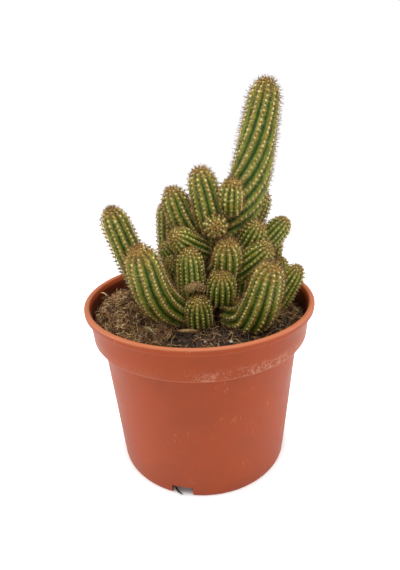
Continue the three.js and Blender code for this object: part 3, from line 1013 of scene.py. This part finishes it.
class CactusBuildCoir(bpy.types.Operator):
    """Heap the fibrous coir mat at the left of the plant"""

    bl_idname = "cactus.build_coir"
    bl_label = "Coir mat"

    def execute(self, context):
        settings = context.scene.cactus_soil
        mound = mound_mesh()
        mound.shade_smooth()
        # The core's dark colour is painted shade for the gaps between the fibres on it.
        mound.materials.append(finish("coir_core"))
        tones = {
            "Dark": strand("coir_dark"),
            "Middle": strand("coir_tan"),
            "Pale": strand("coir_straw"),
        }
        matted = {"Shortest": 4 * MM, "Longest": 11 * MM, "Curl": 5.5 * MM, "Tilt": 0.7, **tones}
        strands = grown_mesh(
            once("matted fibres", fibre_tree),
            mound.copy(),
            Count=settings.mat_count,
            Radius=1.3 * settings.fibre_radius,
            Lift=1.4 * MM,
            Seed=3,
            Lowest=79 * MM,
            **matted,
        )
        add_piece("coir_mat", mound, ["coir_mound"])
        add_piece("coir_strands", strands)
        for name, centre, radius in COIR_TUFTS:
            tuft = grown_mesh(
                once("matted fibres", fibre_tree),
                soil_mesh(),
                Count=settings.tuft_count,
                Radius=settings.fibre_radius,
                Lift=1.8 * MM,
                Seed=5,
                Patch_centre=tuple(part * MM for part in centre),
                Patch_radius=radius,
                **matted,
            )
            add_piece(name, tuft)
        return {"FINISHED"}


# ---- Stems ----


DOME_SHARE = 1.3  # length of a stem's rounded end, in half widths
WIDEST_AT = 0.4  # share of a stem's length at which it is widest


def stem_measure_tree(name):
    """Geometry Nodes group: the lengths of a stem's rounded foot, straight run and rounded tip."""
    inputs = [
        ("Route", GEOMETRY, None),
        ("Half width", FLOAT, 7 * MM),
        ("Foot share", FLOAT, 0.86),
        ("Tip share", FLOAT, 0.8),
    ]
    outputs = [(part, FLOAT) for part in ("Length", "Heel", "Heel arc", "Run", "Dome", "Dome arc", "Total")]
    sheet, given, out = new_tree(name, "GeometryNodeTree", inputs, outputs)
    total_length = sheet.node("GeometryNodeCurveLength", {"Curve": given["Route"]}).outputs[0]
    foot_radius = sheet.times(given["Half width"], given["Foot share"])
    tip_radius = sheet.times(given["Half width"], given["Tip share"])

    def quarter(long, short):
        squares = sheet.plus(sheet.times(long, long), sheet.times(short, short))
        return sheet.times(sheet.math("SQRT", sheet.times(squares, 0.5)), math.pi / 2)

    heel = sheet.times(foot_radius, 0.5)
    longest_dome = sheet.times(total_length, 0.6)
    dome = sheet.math("MINIMUM", sheet.times(tip_radius, DOME_SHARE), longest_dome)
    run = sheet.minus(sheet.minus(total_length, heel), dome)
    found = {
        "Length": total_length,
        "Heel": heel,
        "Heel arc": quarter(heel, foot_radius),
        "Run": run,
        "Dome": dome,
        "Dome arc": quarter(dome, tip_radius),
    }
    found["Total"] = sheet.plus(sheet.plus(found["Heel arc"], run), found["Dome arc"])
    for part, value in found.items():
        sheet.feed(out.inputs[part], value)
    return sheet.tree


def measured(sheet, given, route):
    """The lengths that the stem measure group finds along a route."""
    return sheet.group(
        once("stem measure", stem_measure_tree),
        Route=route,
        Half_width=given["Half width"],
        Foot_share=given["Foot share"],
        Tip_share=given["Tip share"],
    )


STEM_SIZES = [
    ("Half width", FLOAT, 7 * MM),
    ("Foot share", FLOAT, 0.86),
    ("Tip share", FLOAT, 0.8),
    ("Ribs", FLOAT, 11.0),
    ("Rib depth", FLOAT, 1 * MM),
    ("Areole spacing", FLOAT, 3.3 * MM),
    ("Bump height", FLOAT, 0.2 * MM),
    ("Twist", FLOAT, 0.0),
    ("Guide", VECTOR, (0.0, 1.0, 0.0)),
]


def stem_surface_tree(name):
    """Geometry Nodes group: a ribbed stem's point at an arc length from its foot and a share round it."""
    inputs = [("Route", GEOMETRY, None), ("Arc", FLOAT, 0.0), ("Around", FLOAT, 0.0), *STEM_SIZES]
    outputs = [
        ("Position", VECTOR), ("Outward", VECTOR), ("Crest", FLOAT), ("Growth", FLOAT), ("Young", FLOAT)
    ]
    sheet, given, out = new_tree(name, "GeometryNodeTree", inputs, outputs)
    measure = measured(sheet, given, given["Route"])
    past_heel = sheet.minus(given["Arc"], measure["Heel arc"])
    past_run = sheet.minus(past_heel, measure["Run"])
    heel_share = sheet.math("MINIMUM", sheet.over(given["Arc"], measure["Heel arc"]), 1.0)
    heel_turn = sheet.times(heel_share, math.pi / 2)
    dome_share = sheet.between(sheet.over(past_run, measure["Dome arc"]), 0.0, 1.0, smooth=False)
    dome_turn = sheet.times(dome_share, math.pi / 2)
    run_part = sheet.math("MINIMUM", sheet.math("MAXIMUM", past_heel, 0.0), measure["Run"])
    heel_part = sheet.times(measure["Heel"], sheet.minus(1.0, sheet.math("COSINE", heel_turn)))
    dome_part = sheet.times(measure["Dome"], sheet.math("SINE", dome_turn))
    distance = sheet.plus(sheet.plus(heel_part, run_part), dome_part)
    growth = sheet.over(distance, measure["Length"])
    roundness = sheet.times(sheet.math("SINE", heel_turn), sheet.math("COSINE", dome_turn))

    # From its widest place a stem narrows a little to the foot and more to the tip.
    early = sheet.times(sheet.math("MINIMUM", sheet.over(growth, WIDEST_AT), 1.0), math.pi / 2)
    filling = sheet.times(sheet.minus(1.0, given["Foot share"]), sheet.math("SINE", early))
    rise = sheet.plus(given["Foot share"], filling)
    late = sheet.math("MAXIMUM", sheet.over(sheet.minus(growth, WIDEST_AT), 1 - WIDEST_AT), 0.0)
    fall = sheet.times(sheet.minus(1.0, given["Tip share"]), sheet.math("POWER", late, 1.5))
    fullness = sheet.times(given["Half width"], sheet.minus(rise, fall))
    smooth_radius = sheet.times(fullness, roundness)

    turns = sheet.times(given["Ribs"], given["Around"])
    crest = sheet.math("ABSOLUTE", sheet.math("COSINE", sheet.times(turns, math.pi)))
    rib = sheet.math("MODULO", sheet.math("ROUND", turns), given["Ribs"])
    stagger = sheet.times(sheet.math("MODULO", rib, 2.0), 0.5)
    beat = sheet.plus(sheet.over(given["Arc"], given["Areole spacing"]), stagger)
    swell = sheet.times(
        sheet.math("COSINE", sheet.times(beat, 2 * math.pi)), sheet.math("POWER", crest, 3.0)
    )
    furrows = sheet.times(given["Rib depth"], sheet.minus(crest, 0.8))
    relief = sheet.plus(furrows, sheet.times(given["Bump height"], swell))
    radius = sheet.plus(smooth_radius, sheet.times(relief, roundness))

    inputs = {"Curves": given["Route"], "Factor": growth}
    centre = sheet.node("GeometryNodeSampleCurve", inputs, mode="FACTOR", use_all_curves=True)
    tangent = sheet.vector("NORMALIZE", centre.outputs["Tangent"])
    side = sheet.vector("NORMALIZE", sheet.vector("CROSS_PRODUCT", given["Guide"], tangent))
    front = sheet.vector("CROSS_PRODUCT", tangent, side)
    left = sheet.minus(1.0, growth)
    wound = sheet.times(given["Twist"], sheet.minus(1.0, sheet.times(left, left)))
    angle = sheet.plus(sheet.times(given["Around"], 2 * math.pi), wound)
    radial = sheet.swept(side, front, angle)
    slope = sheet.minus(sheet.plus(dome_turn, heel_turn), math.pi / 2)
    outward = sheet.swept(radial, tangent, slope)
    sheet.feed(
        out.inputs["Position"],
        sheet.vector("ADD", centre.outputs["Position"], sheet.scaled(radial, radius)),
    )
    sheet.feed(out.inputs["Outward"], outward)
    sheet.feed(out.inputs["Crest"], crest)
    sheet.feed(out.inputs["Growth"], growth)
    from_tip = sheet.minus(measure["Total"], given["Arc"])
    grown = sheet.times(given["Half width"], 1.5)
    sheet.feed(out.inputs["Young"], sheet.between(sheet.over(from_tip, grown), 0.2, 1.0, 1.0, 0.0))
    return sheet.tree


def stem_parts(sheet, given):
    """The stem's route as a curve, its whole arc length, and a function that gives its surface at a place."""
    route = sheet.node("GeometryNodeMeshToCurve", {"Mesh": given["Geometry"]}).outputs[0]
    route = sheet.node("GeometryNodeResampleCurve", {"Curve": route, "Count": 48}).outputs[0]
    total = measured(sheet, given, route)["Total"]
    sizes = {name.replace(" ", "_"): given[name] for name, _, _ in STEM_SIZES}

    def surface(arc, around):
        return sheet.group(
            once("stem surface", stem_surface_tree), Route=route, Arc=arc, Around=around, **sizes
        )

    return total, surface


WELD = 0.004 * MM  # points closer than this close the body's seam and poles


def stem_body_tree(name):
    """Geometry Nodes: the closed, ribbed body of a stem, from three or more points along it."""
    inputs = [
        ("Geometry", GEOMETRY, None),
        *STEM_SIZES,
        ("Rings", INTEGER, 60),
        ("Sides", INTEGER, 88),
        ("Skin", MATERIAL, None),
    ]
    sheet, given, out = new_tree(name, "GeometryNodeTree", inputs, [("Geometry", GEOMETRY)])
    total, surface = stem_parts(sheet, given)
    columns = sheet.plus(given["Sides"], 1.0)
    inputs = {"Size X": 1.0, "Size Y": 1.0, "Vertices X": given["Rings"], "Vertices Y": columns}
    grid = sheet.node("GeometryNodeMeshGrid", inputs)
    place = sheet.place()
    axes = sheet.axes(place)
    around = sheet.plus(axes["Y"], 0.5)
    found = surface(sheet.times(sheet.plus(axes["X"], 0.5), total), around)
    mesh = grid.outputs["Mesh"]
    for attribute in ("Crest", "Growth", "Young"):
        mesh = sheet.kept(mesh, attribute.lower(), found[attribute])
    mesh = sheet.moved(mesh, Position=found["Position"])
    mesh = sheet.node("GeometryNodeMergeByDistance", {"Geometry": mesh, "Distance": WELD}).outputs[0]
    mesh = sheet.node("GeometryNodeFlipFaces", {"Mesh": mesh}).outputs[0]
    mesh = sheet.smooth(mesh)
    mesh = sheet.node("GeometryNodeRealizeInstances", {"Geometry": mesh}).outputs[0]
    mesh = sheet.node("GeometryNodeSetMaterial", {"Geometry": mesh, "Material": given["Skin"]}).outputs[0]
    sheet.feed(out.inputs["Geometry"], mesh)
    return sheet.tree


WOOL_TONES = (("Cream wool", 0.0), ("Tan wool", 0.72))
BRISTLE_TONES = (
    ("Pale bristle", 0.0),
    ("Golden bristle", 0.12),
    ("Russet bristle", 0.34),
    ("Dark bristle", 0.6),
)
BARE_TIP = 0.9 * MM
CROWN = 8 * MM  # length of the tip over which areoles are smaller and bristles stand up more
CENTRAL_BRISTLES = 4.0  # bristles of each areole that stand out, longer and darker
SPIKE_SHAPE = {
    "Vertices": 3,
    "Side Segments": 1,
    "Fill Segments": 1,
    "Radius Top": 0.35,
    "Radius Bottom": 1.0,
    "Depth": 1.0,
}


def stem_spines_tree(name):
    """Geometry Nodes: woolly areoles along every rib, each with a spray of bristles."""
    inputs = [
        ("Geometry", GEOMETRY, None),
        *STEM_SIZES,
        ("Rows", INTEGER, 20),
        ("Bristles", INTEGER, 15),
        ("Bristle length", FLOAT, 2.5 * MM),
        ("Bristle radius", FLOAT, 0.07 * MM),
        ("Wool size", FLOAT, 0.6 * MM),
        ("Seed", INTEGER, 1),
        ("Lowest", FLOAT, 79 * MM),
        *[(tone, MATERIAL, None) for tone, _ in WOOL_TONES + BRISTLE_TONES],
    ]
    sheet, given, out = new_tree(name, "GeometryNodeTree", inputs, [("Geometry", GEOMETRY)])
    total, surface = stem_parts(sheet, given)
    index = sheet.node("GeometryNodeInputIndex").outputs[0]
    rib = sheet.math("MODULO", index, given["Ribs"])
    row = sheet.math("FLOOR", sheet.over(sheet.plus(index, 0.5), given["Ribs"]))
    stagger = sheet.times(sheet.math("MODULO", rib, 2.0), 0.5)
    arc = sheet.times(sheet.plus(row, stagger), given["Areole spacing"])
    around = sheet.over(rib, given["Ribs"])
    found = surface(arc, around)
    count = sheet.times(given["Rows"], given["Ribs"])
    points = sheet.node("GeometryNodePoints", {"Count": count}).outputs[0]
    from_tip = sheet.minus(total, arc)
    points = sheet.kept(points, "young", found["Young"])
    points = sheet.kept(points, "from tip", from_tip)
    points = sheet.kept(points, "outward", found["Outward"], "FLOAT_VECTOR")
    points = sheet.moved(points, Position=found["Position"])

    height = sheet.axes(sheet.place())["Z"]
    left = sheet.recalled("from tip")
    young = sheet.recalled("young")
    outward = sheet.recalled("outward", "FLOAT_VECTOR")
    off_tip = sheet.math("GREATER_THAN", left, BARE_TIP)
    inputs = {
        "Geometry": points,
        "Selection": sheet.times(sheet.math("GREATER_THAN", height, given["Lowest"]), off_tip),
    }
    points = sheet.node("GeometryNodeSeparateGeometry", inputs, domain="POINT").outputs["Selection"]

    inputs = {0: (-0.2, -0.2, -0.2), 1: (0.2, 0.2, 0.2), 7: index, 8: given["Seed"]}
    jitter = sheet.node("FunctionNodeRandomValue", inputs, data_type="FLOAT_VECTOR").outputs[0]
    inputs = {"Vector": sheet.vector("ADD", outward, jitter)}
    facing = sheet.node("FunctionNodeAlignRotationToVector", inputs, axis="Z").outputs[0]

    tone = sheet.plus(sheet.random(0.0, 0.75, given["Seed"]), sheet.times(young, 0.4))
    pads = sheet.kept(points, "tone", tone)
    raised = sheet.scaled(outward, sheet.times(given["Wool size"], 0.5))
    pads = sheet.moved(pads, Offset=raised)
    spread = sheet.times(sheet.random(0.75, 1.2, 31), sheet.between(left, 0.0, CROWN, 0.8, 1.0))
    pad_size = sheet.times(given["Wool size"], spread)
    pad_scale = sheet.vector("MULTIPLY", sheet.xyz(pad_size, pad_size, pad_size), (0.9, 1.0, 0.8))
    pad = sheet.node("GeometryNodeMeshIcoSphere", {"Radius": 1.0, "Subdivisions": 1}).outputs["Mesh"]
    pads = sheet.copies(pads, pad, facing, pad_scale)
    pads = toned(sheet, sheet.smooth(pads), given, WOOL_TONES)

    inputs = {"Geometry": points, "Amount": given["Bristles"]}
    spray = sheet.node("GeometryNodeDuplicateElements", inputs, domain="POINT").outputs
    even_turn = sheet.times(sheet.over(spray["Duplicate Index"], given["Bristles"]), 6.283)
    turn = sheet.plus(even_turn, sheet.random(0.0, 0.9, 32))
    central = sheet.math("LESS_THAN", spray["Duplicate Index"], CENTRAL_BRISTLES)
    lean = sheet.minus(sheet.random(1.05, 1.45, 33), sheet.times(central, sheet.random(0.5, 1.0, 36)))
    lean = sheet.times(lean, sheet.between(left, 1 * MM, CROWN, 0.84, 1.0))
    pointing = sheet.turned(facing, sheet.turning(0.0, lean, turn))
    bristle_tone = sheet.plus(sheet.random(0.0, 0.75, 34), sheet.times(young, 0.08))
    standing = sheet.minus(sheet.random(0.35, 1.25, 37), sheet.times(young, 0.2))
    bristle_tone = sheet.math("MAXIMUM", bristle_tone, sheet.times(central, standing))
    spots = sheet.kept(spray["Geometry"], "tone", bristle_tone)
    spike = sheet.node("GeometryNodeMeshCone", SPIKE_SHAPE).outputs["Mesh"]
    reach = sheet.plus(sheet.random(0.6, 0.95, 35), sheet.times(central, 0.2))
    reach = sheet.times(given["Bristle length"], reach)
    girth = sheet.times(given["Bristle radius"], sheet.plus(1.0, sheet.times(central, 0.5)))
    spikes = sheet.copies(spots, spike, pointing, sheet.xyz(girth, girth, reach))
    spikes = toned(sheet, spikes, given, BRISTLE_TONES)
    both = sheet.node("GeometryNodeJoinGeometry")
    for part in (spikes, pads):
        sheet.tree.links.new(part, both.inputs[0])
    sheet.feed(out.inputs["Geometry"], both.outputs[0])
    return sheet.tree


def catmull_rom(points, share):
    """A place between the middle two of four points, on a centripetal Catmull-Rom curve."""
    before, start, end, after = points
    gaps = [max((b - a).length_squared ** 0.25, 1e-6) for a, b in zip(points, points[1:])]
    leave = (
        (start - before) / gaps[0] - (end - before) / (gaps[0] + gaps[1]) + (end - start) / gaps[1]
    ) * gaps[1]
    reach = (
        (end - start) / gaps[1] - (after - start) / (gaps[1] + gaps[2]) + (after - end) / gaps[2]
    ) * gaps[1]
    square, cube = share**2, share**3
    return (
        start * (2 * cube - 3 * square + 1)
        + leave * (cube - 2 * square + share)
        + end * (3 * square - 2 * cube)
        + reach * (cube - square)
    )


def stem_route(stem, steps=16):
    """A stem's centre line, as a mesh of points joined by edges."""
    foot, middle, tip = (Vector(place) * MM for place in (stem.foot, stem.middle, stem.tip))
    knots = [2 * foot - middle, foot, middle, tip, 2 * tip - middle]
    points = [catmull_rom(knots[part : part + 4], step / steps) for part in (0, 1) for step in range(steps)]
    points.append(tip)
    mesh = bpy.data.meshes.new(stem.name + "_route")
    mesh.from_pydata([tuple(p) for p in points], [(i, i + 1) for i in range(len(points) - 1)], [])
    return mesh


def guide_axis(stem):
    """The axis that a stem runs along least, from which its ribs are counted."""
    run = [abs(b - a) for a, b in zip(stem.foot, stem.tip)]
    return tuple(1.0 if i == run.index(min(run)) else 0.0 for i in range(3))


DEEP_GREEN = (0.01, 0.022, 0.004, 1.0)


def skin_material(name, settings):
    """Waxy green skin with painted shade in the furrows, yellower near the tip and corky at the foot."""
    material, sheet, shader = new_material(name, 0.5)
    shader.inputs["Specular IOR Level"].default_value = 0.3
    crest = sheet.node("ShaderNodeAttribute", attribute_name="crest").outputs["Fac"]
    growth = sheet.node("ShaderNodeAttribute", attribute_name="growth").outputs["Fac"]
    young = sheet.node("ShaderNodeAttribute", attribute_name="young").outputs["Fac"]
    patches = mottle(sheet, 3 * MM, 0.5 * MM, 0.6)
    # Painted shade: the skin between the ribs is given a darker colour than on the ribs.
    uneven = sheet.plus(crest, sheet.times(sheet.minus(patches, 0.5), 0.3))
    ridge = sheet.between(uneven, 0.2, 1.0)
    colour = sheet.mix(ridge, settings.furrow_shade[:], settings.crest[:])
    colour = sheet.mix(sheet.times(young, 0.7), colour, settings.young[:])
    line = sheet.times(sheet.between(crest, 0.86, 0.98), sheet.between(patches, 0.0, 0.6, 0.4, 0.85))
    colour = sheet.mix(line, colour, settings.rib_line[:])
    cork = sheet.times(
        sheet.between(growth, 0.0, 0.16, 1.0, 0.0), sheet.between(patches, 0.2, 0.8, 0.2, 0.9)
    )
    colour = sheet.mix(sheet.times(cork, 0.7), colour, settings.corky[:])
    shade = sheet.times(sheet.between(patches, 0.3, 0.62, 1.0, 0.0), 0.42)
    colour = sheet.mix(shade, colour, DEEP_GREEN)
    sheet.feed(shader.inputs["Base Color"], colour)
    sheet.feed(shader.inputs["Roughness"], sheet.between(patches, 0.0, 1.0, 0.42, 0.6))
    bump(sheet, shader, 0.45 * MM, 3 * MM, 0.3, 0.12 * MM, 0.6)
    return material


RING_SPACING = 0.7 * MM


def build_stem(stem, number, settings):
    """One stem as two pieces: its ribbed body, which stands for the solid, and its wool and bristles."""
    low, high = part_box(stem.name)
    tip = Vector(stem.tip) * MM
    if any(not low[i] - MM < tip[i] < high[i] + MM for i in range(3)):
        raise RuntimeError(f"{stem.name} is not where its solid is")
    withered = stem.name == WITHERED_BUD
    close = stem.name in CLOSE_RIBBED
    width = stem.width * MM
    size_share = min(1.0, width / (15 * MM))
    bristle_share = (0.6 if close or withered else 1.0) * min(1.0, width / (12 * MM))
    ribs = settings.close_ribs if close else settings.ribs
    spacing = settings.areole_spacing * (0.94 if close else 1.0)
    runs = ((stem.foot, stem.middle), (stem.middle, stem.tip))
    arc = sum(math.dist(start, end) for start, end in runs) * MM + width
    shape = {
        "Half_width": width / 2,
        "Foot_share": stem.foot_share,
        "Tip_share": stem.tip_share,
        "Ribs": float(ribs),
        "Rib_depth": settings.rib_depth * size_share * (0.75 if close else 1.0),
        "Areole_spacing": spacing,
        "Bump_height": settings.bump_height,
        "Twist": TWISTS.get(stem.name, 0.15 * math.sin(2.1 * number)),
        "Guide": guide_axis(stem),
    }
    body = grown_mesh(
        once("stem body", stem_body_tree),
        stem_route(stem),
        **shape,
        Rings=round(arc / RING_SPACING),
        Sides=ribs * (6 if close else 8),
        Skin=finish("dried_skin") if withered else once("ribbed_skin", skin_material, settings),
    )
    spines = grown_mesh(
        once("stem spines", stem_spines_tree),
        stem_route(stem),
        **shape,
        Rows=math.ceil(arc / spacing) + 1,
        Bristles=settings.bristles - 5 if close else settings.bristles,
        Bristle_length=settings.bristle_length * bristle_share,
        Bristle_radius=settings.bristle_radius,
        Wool_size=settings.wool_size * (0.8 if close else 0.4 if withered else 1.0),
        Seed=number,
        Lowest=78 * MM,
        Cream_wool=strand("wool_cream"),
        Tan_wool=strand("wool_tan"),
        Pale_bristle=strand("bristle_pale"),
        Golden_bristle=strand("bristle_golden"),
        Russet_bristle=strand("bristle_russet"),
        Dark_bristle=strand("bristle_dark"),
    )
    add_piece(stem.name + "_body", body, [stem.name])
    add_piece(stem.name + "_spines", spines)


class CactusBuildStems(bpy.types.Operator):
    """Grow every stem and bud with its ribs, areoles and bristles"""

    bl_idname = "cactus.build_stems"
    bl_label = "Stems and buds"

    def execute(self, context):
        for number, stem in enumerate(STEMS):
            build_stem(stem, number, context.scene.cactus_stems)
        return {"FINISHED"}


# ---- Small things on the soil ----

BARK_CURL = [(-10.5, -26.5, 84.2), (-7.5, -28.4, 85.0), (-4.5, -28.6, 85.1), (-1.5, -27.4, 84.4)]
ROOT_STRAND = [(-16.0, -42.2, 2.4), (-14.6, -44.4, 1.5), (-12.2, -46.4, 1.0)]
STRAWS = [
    [(-53.4, 6.0, 92.4), (-51.6, 4.6, 92.8), (-49.4, 2.0, 92.0)],
    [(50.0, -8.0, 84.6), (51.2, -8.4, 84.4), (52.4, -8.0, 82.6)],
    [(-45.0, 1.0, 91.0), (-42.0, -3.0, 91.6), (-37.0, -6.0, 90.4)],
    [(-30.0, -22.0, 85.4), (-25.0, -26.0, 86.0), (-20.0, -33.0, 84.4)],
]


def tube(points, radius, sides=8, steps=10, lobes=0.0):
    """A closed tapering tube along a smooth run of points given in millimetres."""
    knots = [Vector(p) * MM for p in points]
    knots = [2 * knots[0] - knots[1], *knots, 2 * knots[-1] - knots[-2]]
    line = [catmull_rom(knots[i : i + 4], s / steps) for i in range(len(points) - 1) for s in range(steps)]
    line.append(knots[-2])
    body = bmesh.new()
    rings = []
    for number, centre in enumerate(line):
        along = (line[min(number + 1, len(line) - 1)] - line[max(number - 1, 0)]).normalized()
        side = along.cross(Vector((0, 0, 1))).normalized()
        up = side.cross(along)
        share = number / (len(line) - 1)
        thick = radius * (0.35 + 0.65 * math.sin(math.pi * min(1.0, 0.08 + 0.86 * share)))
        ring = []
        for i in range(sides):
            angle = 2 * math.pi * i / sides
            swell = thick * (
                1 + lobes * noise.noise(Vector((3 * math.cos(angle), 3 * math.sin(angle), 9 * share)))
            )
            ring.append(
                body.verts.new(centre + side * swell * math.cos(angle) + up * swell * math.sin(angle))
            )
        rings.append(ring)
    for lower, upper in zip(rings, rings[1:]):
        for i in range(sides):
            j = (i + 1) % sides
            body.faces.new((lower[i], lower[j], upper[j], upper[i]))
    body.faces.new(rings[0][::-1])
    body.faces.new(rings[-1])
    bmesh.ops.recalc_face_normals(body, faces=body.faces)
    mesh = mesh_of(body, "tube")
    mesh.shade_smooth()
    return mesh


def lump_mesh(low, high, seed):
    """A rough, pitted grain that fills a box."""
    body = bmesh.new()
    bmesh.ops.create_icosphere(body, subdivisions=3, radius=0.5)
    for vertex in body.verts:
        pits = noise.fractal(vertex.co * 4 + Vector((seed, 2 * seed, 0)), 0.8, 2.0, 3)
        place = vertex.co * (1 + 0.35 * pits)
        vertex.co = [(low[i] + high[i]) / 2 + place[i] * (high[i] - low[i]) for i in range(3)]
    mesh = mesh_of(body, "grain")
    mesh.shade_smooth()
    return mesh


class CactusBuildLitter(bpy.types.Operator):
    """Drop the perlite, the bark curl, the straws and the root wisp"""

    bl_idname = "cactus.build_litter"
    bl_label = "Litter"

    def execute(self, context):
        grains = [f"perlite_grain_{number}" for number in range(1, 8)]
        perlite = joined_mesh([lump_mesh(*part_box(g), seed) for seed, g in enumerate(grains)], "perlite")
        perlite.shade_smooth()
        perlite.materials.append(finish("perlite_white"))
        add_piece("perlite_lumps", perlite, grains)

        bark = tube(BARK_CURL, 0.95 * MM, 12, 12, 0.5)
        bark.materials.append(finish("bark"))
        add_piece("bark_strip", bark, ["bark_curl"])

        root = tube(ROOT_STRAND, 0.45 * MM, 8, 8, 0.6)
        root.materials.append(finish("root_skin"))
        add_piece("root_wisp", root, ["root_strand"])

        straws = joined_mesh([tube(points, 0.32 * MM, 6, 8, 0.3) for points in STRAWS], "straws")
        straws.shade_smooth()
        straws.materials.append(finish("straw"))
        add_piece("straws", straws)
        return {"FINISHED"}


# ---- Stage ----

CAMERA_PLACE = Vector((0.0, -0.212, 0.1805))
CAMERA_PITCH, CAMERA_YAW, CAMERA_ROLL = math.radians(21.45), math.radians(0.19), math.radians(2.06)
SENSOR, FRAME_HEIGHT, FOCAL_LENGTH = 36.0, 570, 430


def add_light(name, place, target, size, power, colour=(1.0, 1.0, 1.0)):
    """A square soft box aimed at a point."""
    data = bpy.data.lights.new(name, "AREA")
    data.shape, data.size, data.energy, data.color = "SQUARE", size, power, colour
    lamp = bpy.data.objects.new(name, data)
    bpy.context.scene.collection.objects.link(lamp)
    lamp.location = place
    lamp.rotation_euler = (Vector(target) - Vector(place)).to_track_quat("-Z", "Y").to_euler()


def add_camera():
    """The camera that looks down on the plant from the front."""
    ahead = Vector((math.sin(CAMERA_YAW), math.cos(CAMERA_YAW), 0.0))
    level = Vector((math.cos(CAMERA_YAW), -math.sin(CAMERA_YAW), 0.0))
    forward = ahead * math.cos(CAMERA_PITCH) - Vector((0.0, 0.0, math.sin(CAMERA_PITCH)))
    upright = level.cross(forward)
    right = math.cos(CAMERA_ROLL) * level - math.sin(CAMERA_ROLL) * upright
    up = math.sin(CAMERA_ROLL) * level + math.cos(CAMERA_ROLL) * upright
    data = bpy.data.cameras.new("camera")
    data.sensor_width, data.lens = SENSOR, SENSOR * FOCAL_LENGTH / FRAME_HEIGHT
    data.clip_start, data.clip_end = 0.01, 20.0
    camera = bpy.data.objects.new("camera", data)
    bpy.context.scene.collection.objects.link(camera)
    camera.matrix_world = Matrix.Translation(CAMERA_PLACE) @ Matrix(
        (right, up, -forward)
    ).transposed().to_4x4()
    bpy.context.scene.camera = camera


class CactusBuildStage(bpy.types.Operator):
    """Lay the pale floor and set the soft light and the camera"""

    bl_idname = "cactus.build_stage"
    bl_label = "Stage"

    def execute(self, context):
        settings = context.scene.cactus_stage
        scene = context.scene
        body = bmesh.new()
        bmesh.ops.create_grid(body, x_segments=1, y_segments=1, size=settings.floor_size / 2)
        mesh = mesh_of(body, "floor")
        material, sheet, shader = new_material("floor", 0.9)
        shader.inputs["Base Color"].default_value = settings.floor
        shader.inputs["Specular IOR Level"].default_value = 0.0
        shader.inputs["Emission Color"].default_value = settings.floor
        lit = sheet.node("ShaderNodeLightPath").outputs["Is Camera Ray"]
        place = sheet.node("ShaderNodeTexCoord").outputs["Object"]
        open_floor = sheet.between(sheet.vector("LENGTH", place), 44 * MM, 56 * MM)
        lit = sheet.times(lit, open_floor)
        sheet.feed(shader.inputs["Emission Strength"], sheet.times(lit, settings.floor_glow))
        mesh.materials.append(material)
        floor = bpy.data.objects.new("floor", mesh)
        scene.collection.objects.link(floor)

        world = bpy.data.worlds.new("soft surround")
        world.use_nodes = True
        surround = Sheet(world.node_tree)
        background = world.node_tree.nodes["Background"]
        seen = surround.node("ShaderNodeLightPath").outputs["Is Camera Ray"]
        surround.feed(
            background.inputs["Strength"], surround.between(seen, 0.0, 1.0, settings.surround, 1.0)
        )
        background.inputs["Color"].default_value = (1.0, 1.0, 1.0, 1.0)
        scene.world = world
        target = (0.0, 0.0, 0.09)
        add_light("top light", (0.0, -0.1, 0.9), target, 0.7, 7.0)
        add_light("left light", (-0.8, 0.0, 0.4), target, 0.5, 4.0)
        add_light("front light", (0.1, -0.9, 0.4), target, 0.6, 1.2)
        add_light("right light", (0.8, 0.0, 0.35), target, 0.5, 3.5)
        add_camera()
        scene.view_settings.view_transform = "Standard"
        return {"FINISHED"}


# ---- Add-on ----


class VIEW3D_PT_cactus(bpy.types.Panel):
    """The sidebar's list of what can be built"""

    bl_idname = "VIEW3D_PT_cactus"
    bl_label = "Potted peanut cactus"
    bl_space_type = "VIEW_3D"
    bl_region_type = "UI"
    bl_category = "Cactus"

    def draw(self, context):
        for operator in OPERATORS:
            self.layout.operator(operator.bl_idname)
        for name in SETTINGS:
            box = self.layout.box()
            settings = getattr(context.scene, name)
            for prop in settings.__annotations__:
                box.prop(settings, prop)


OPERATORS = (
    CactusBuildStage, CactusBuildPot, CactusBuildSoil, CactusBuildCoir, CactusBuildLitter, CactusBuildStems
)


def register():
    for kind in (*SETTINGS.values(), *OPERATORS, VIEW3D_PT_cactus):
        bpy.utils.register_class(kind)
    for name, kind in SETTINGS.items():
        setattr(bpy.types.Scene, name, PointerProperty(type=kind))


def unregister():
    for name in SETTINGS:
        delattr(bpy.types.Scene, name)
    for kind in reversed((*SETTINGS.values(), *OPERATORS, VIEW3D_PT_cactus)):
        bpy.utils.unregister_class(kind)


def main():
    register()
    bpy.ops.cactus.build_stage()
    bpy.ops.cactus.build_pot()
    bpy.ops.cactus.build_soil()
    bpy.ops.cactus.build_coir()
    bpy.ops.cactus.build_litter()
    bpy.ops.cactus.build_stems()


if __name__ == "__main__":
    main()
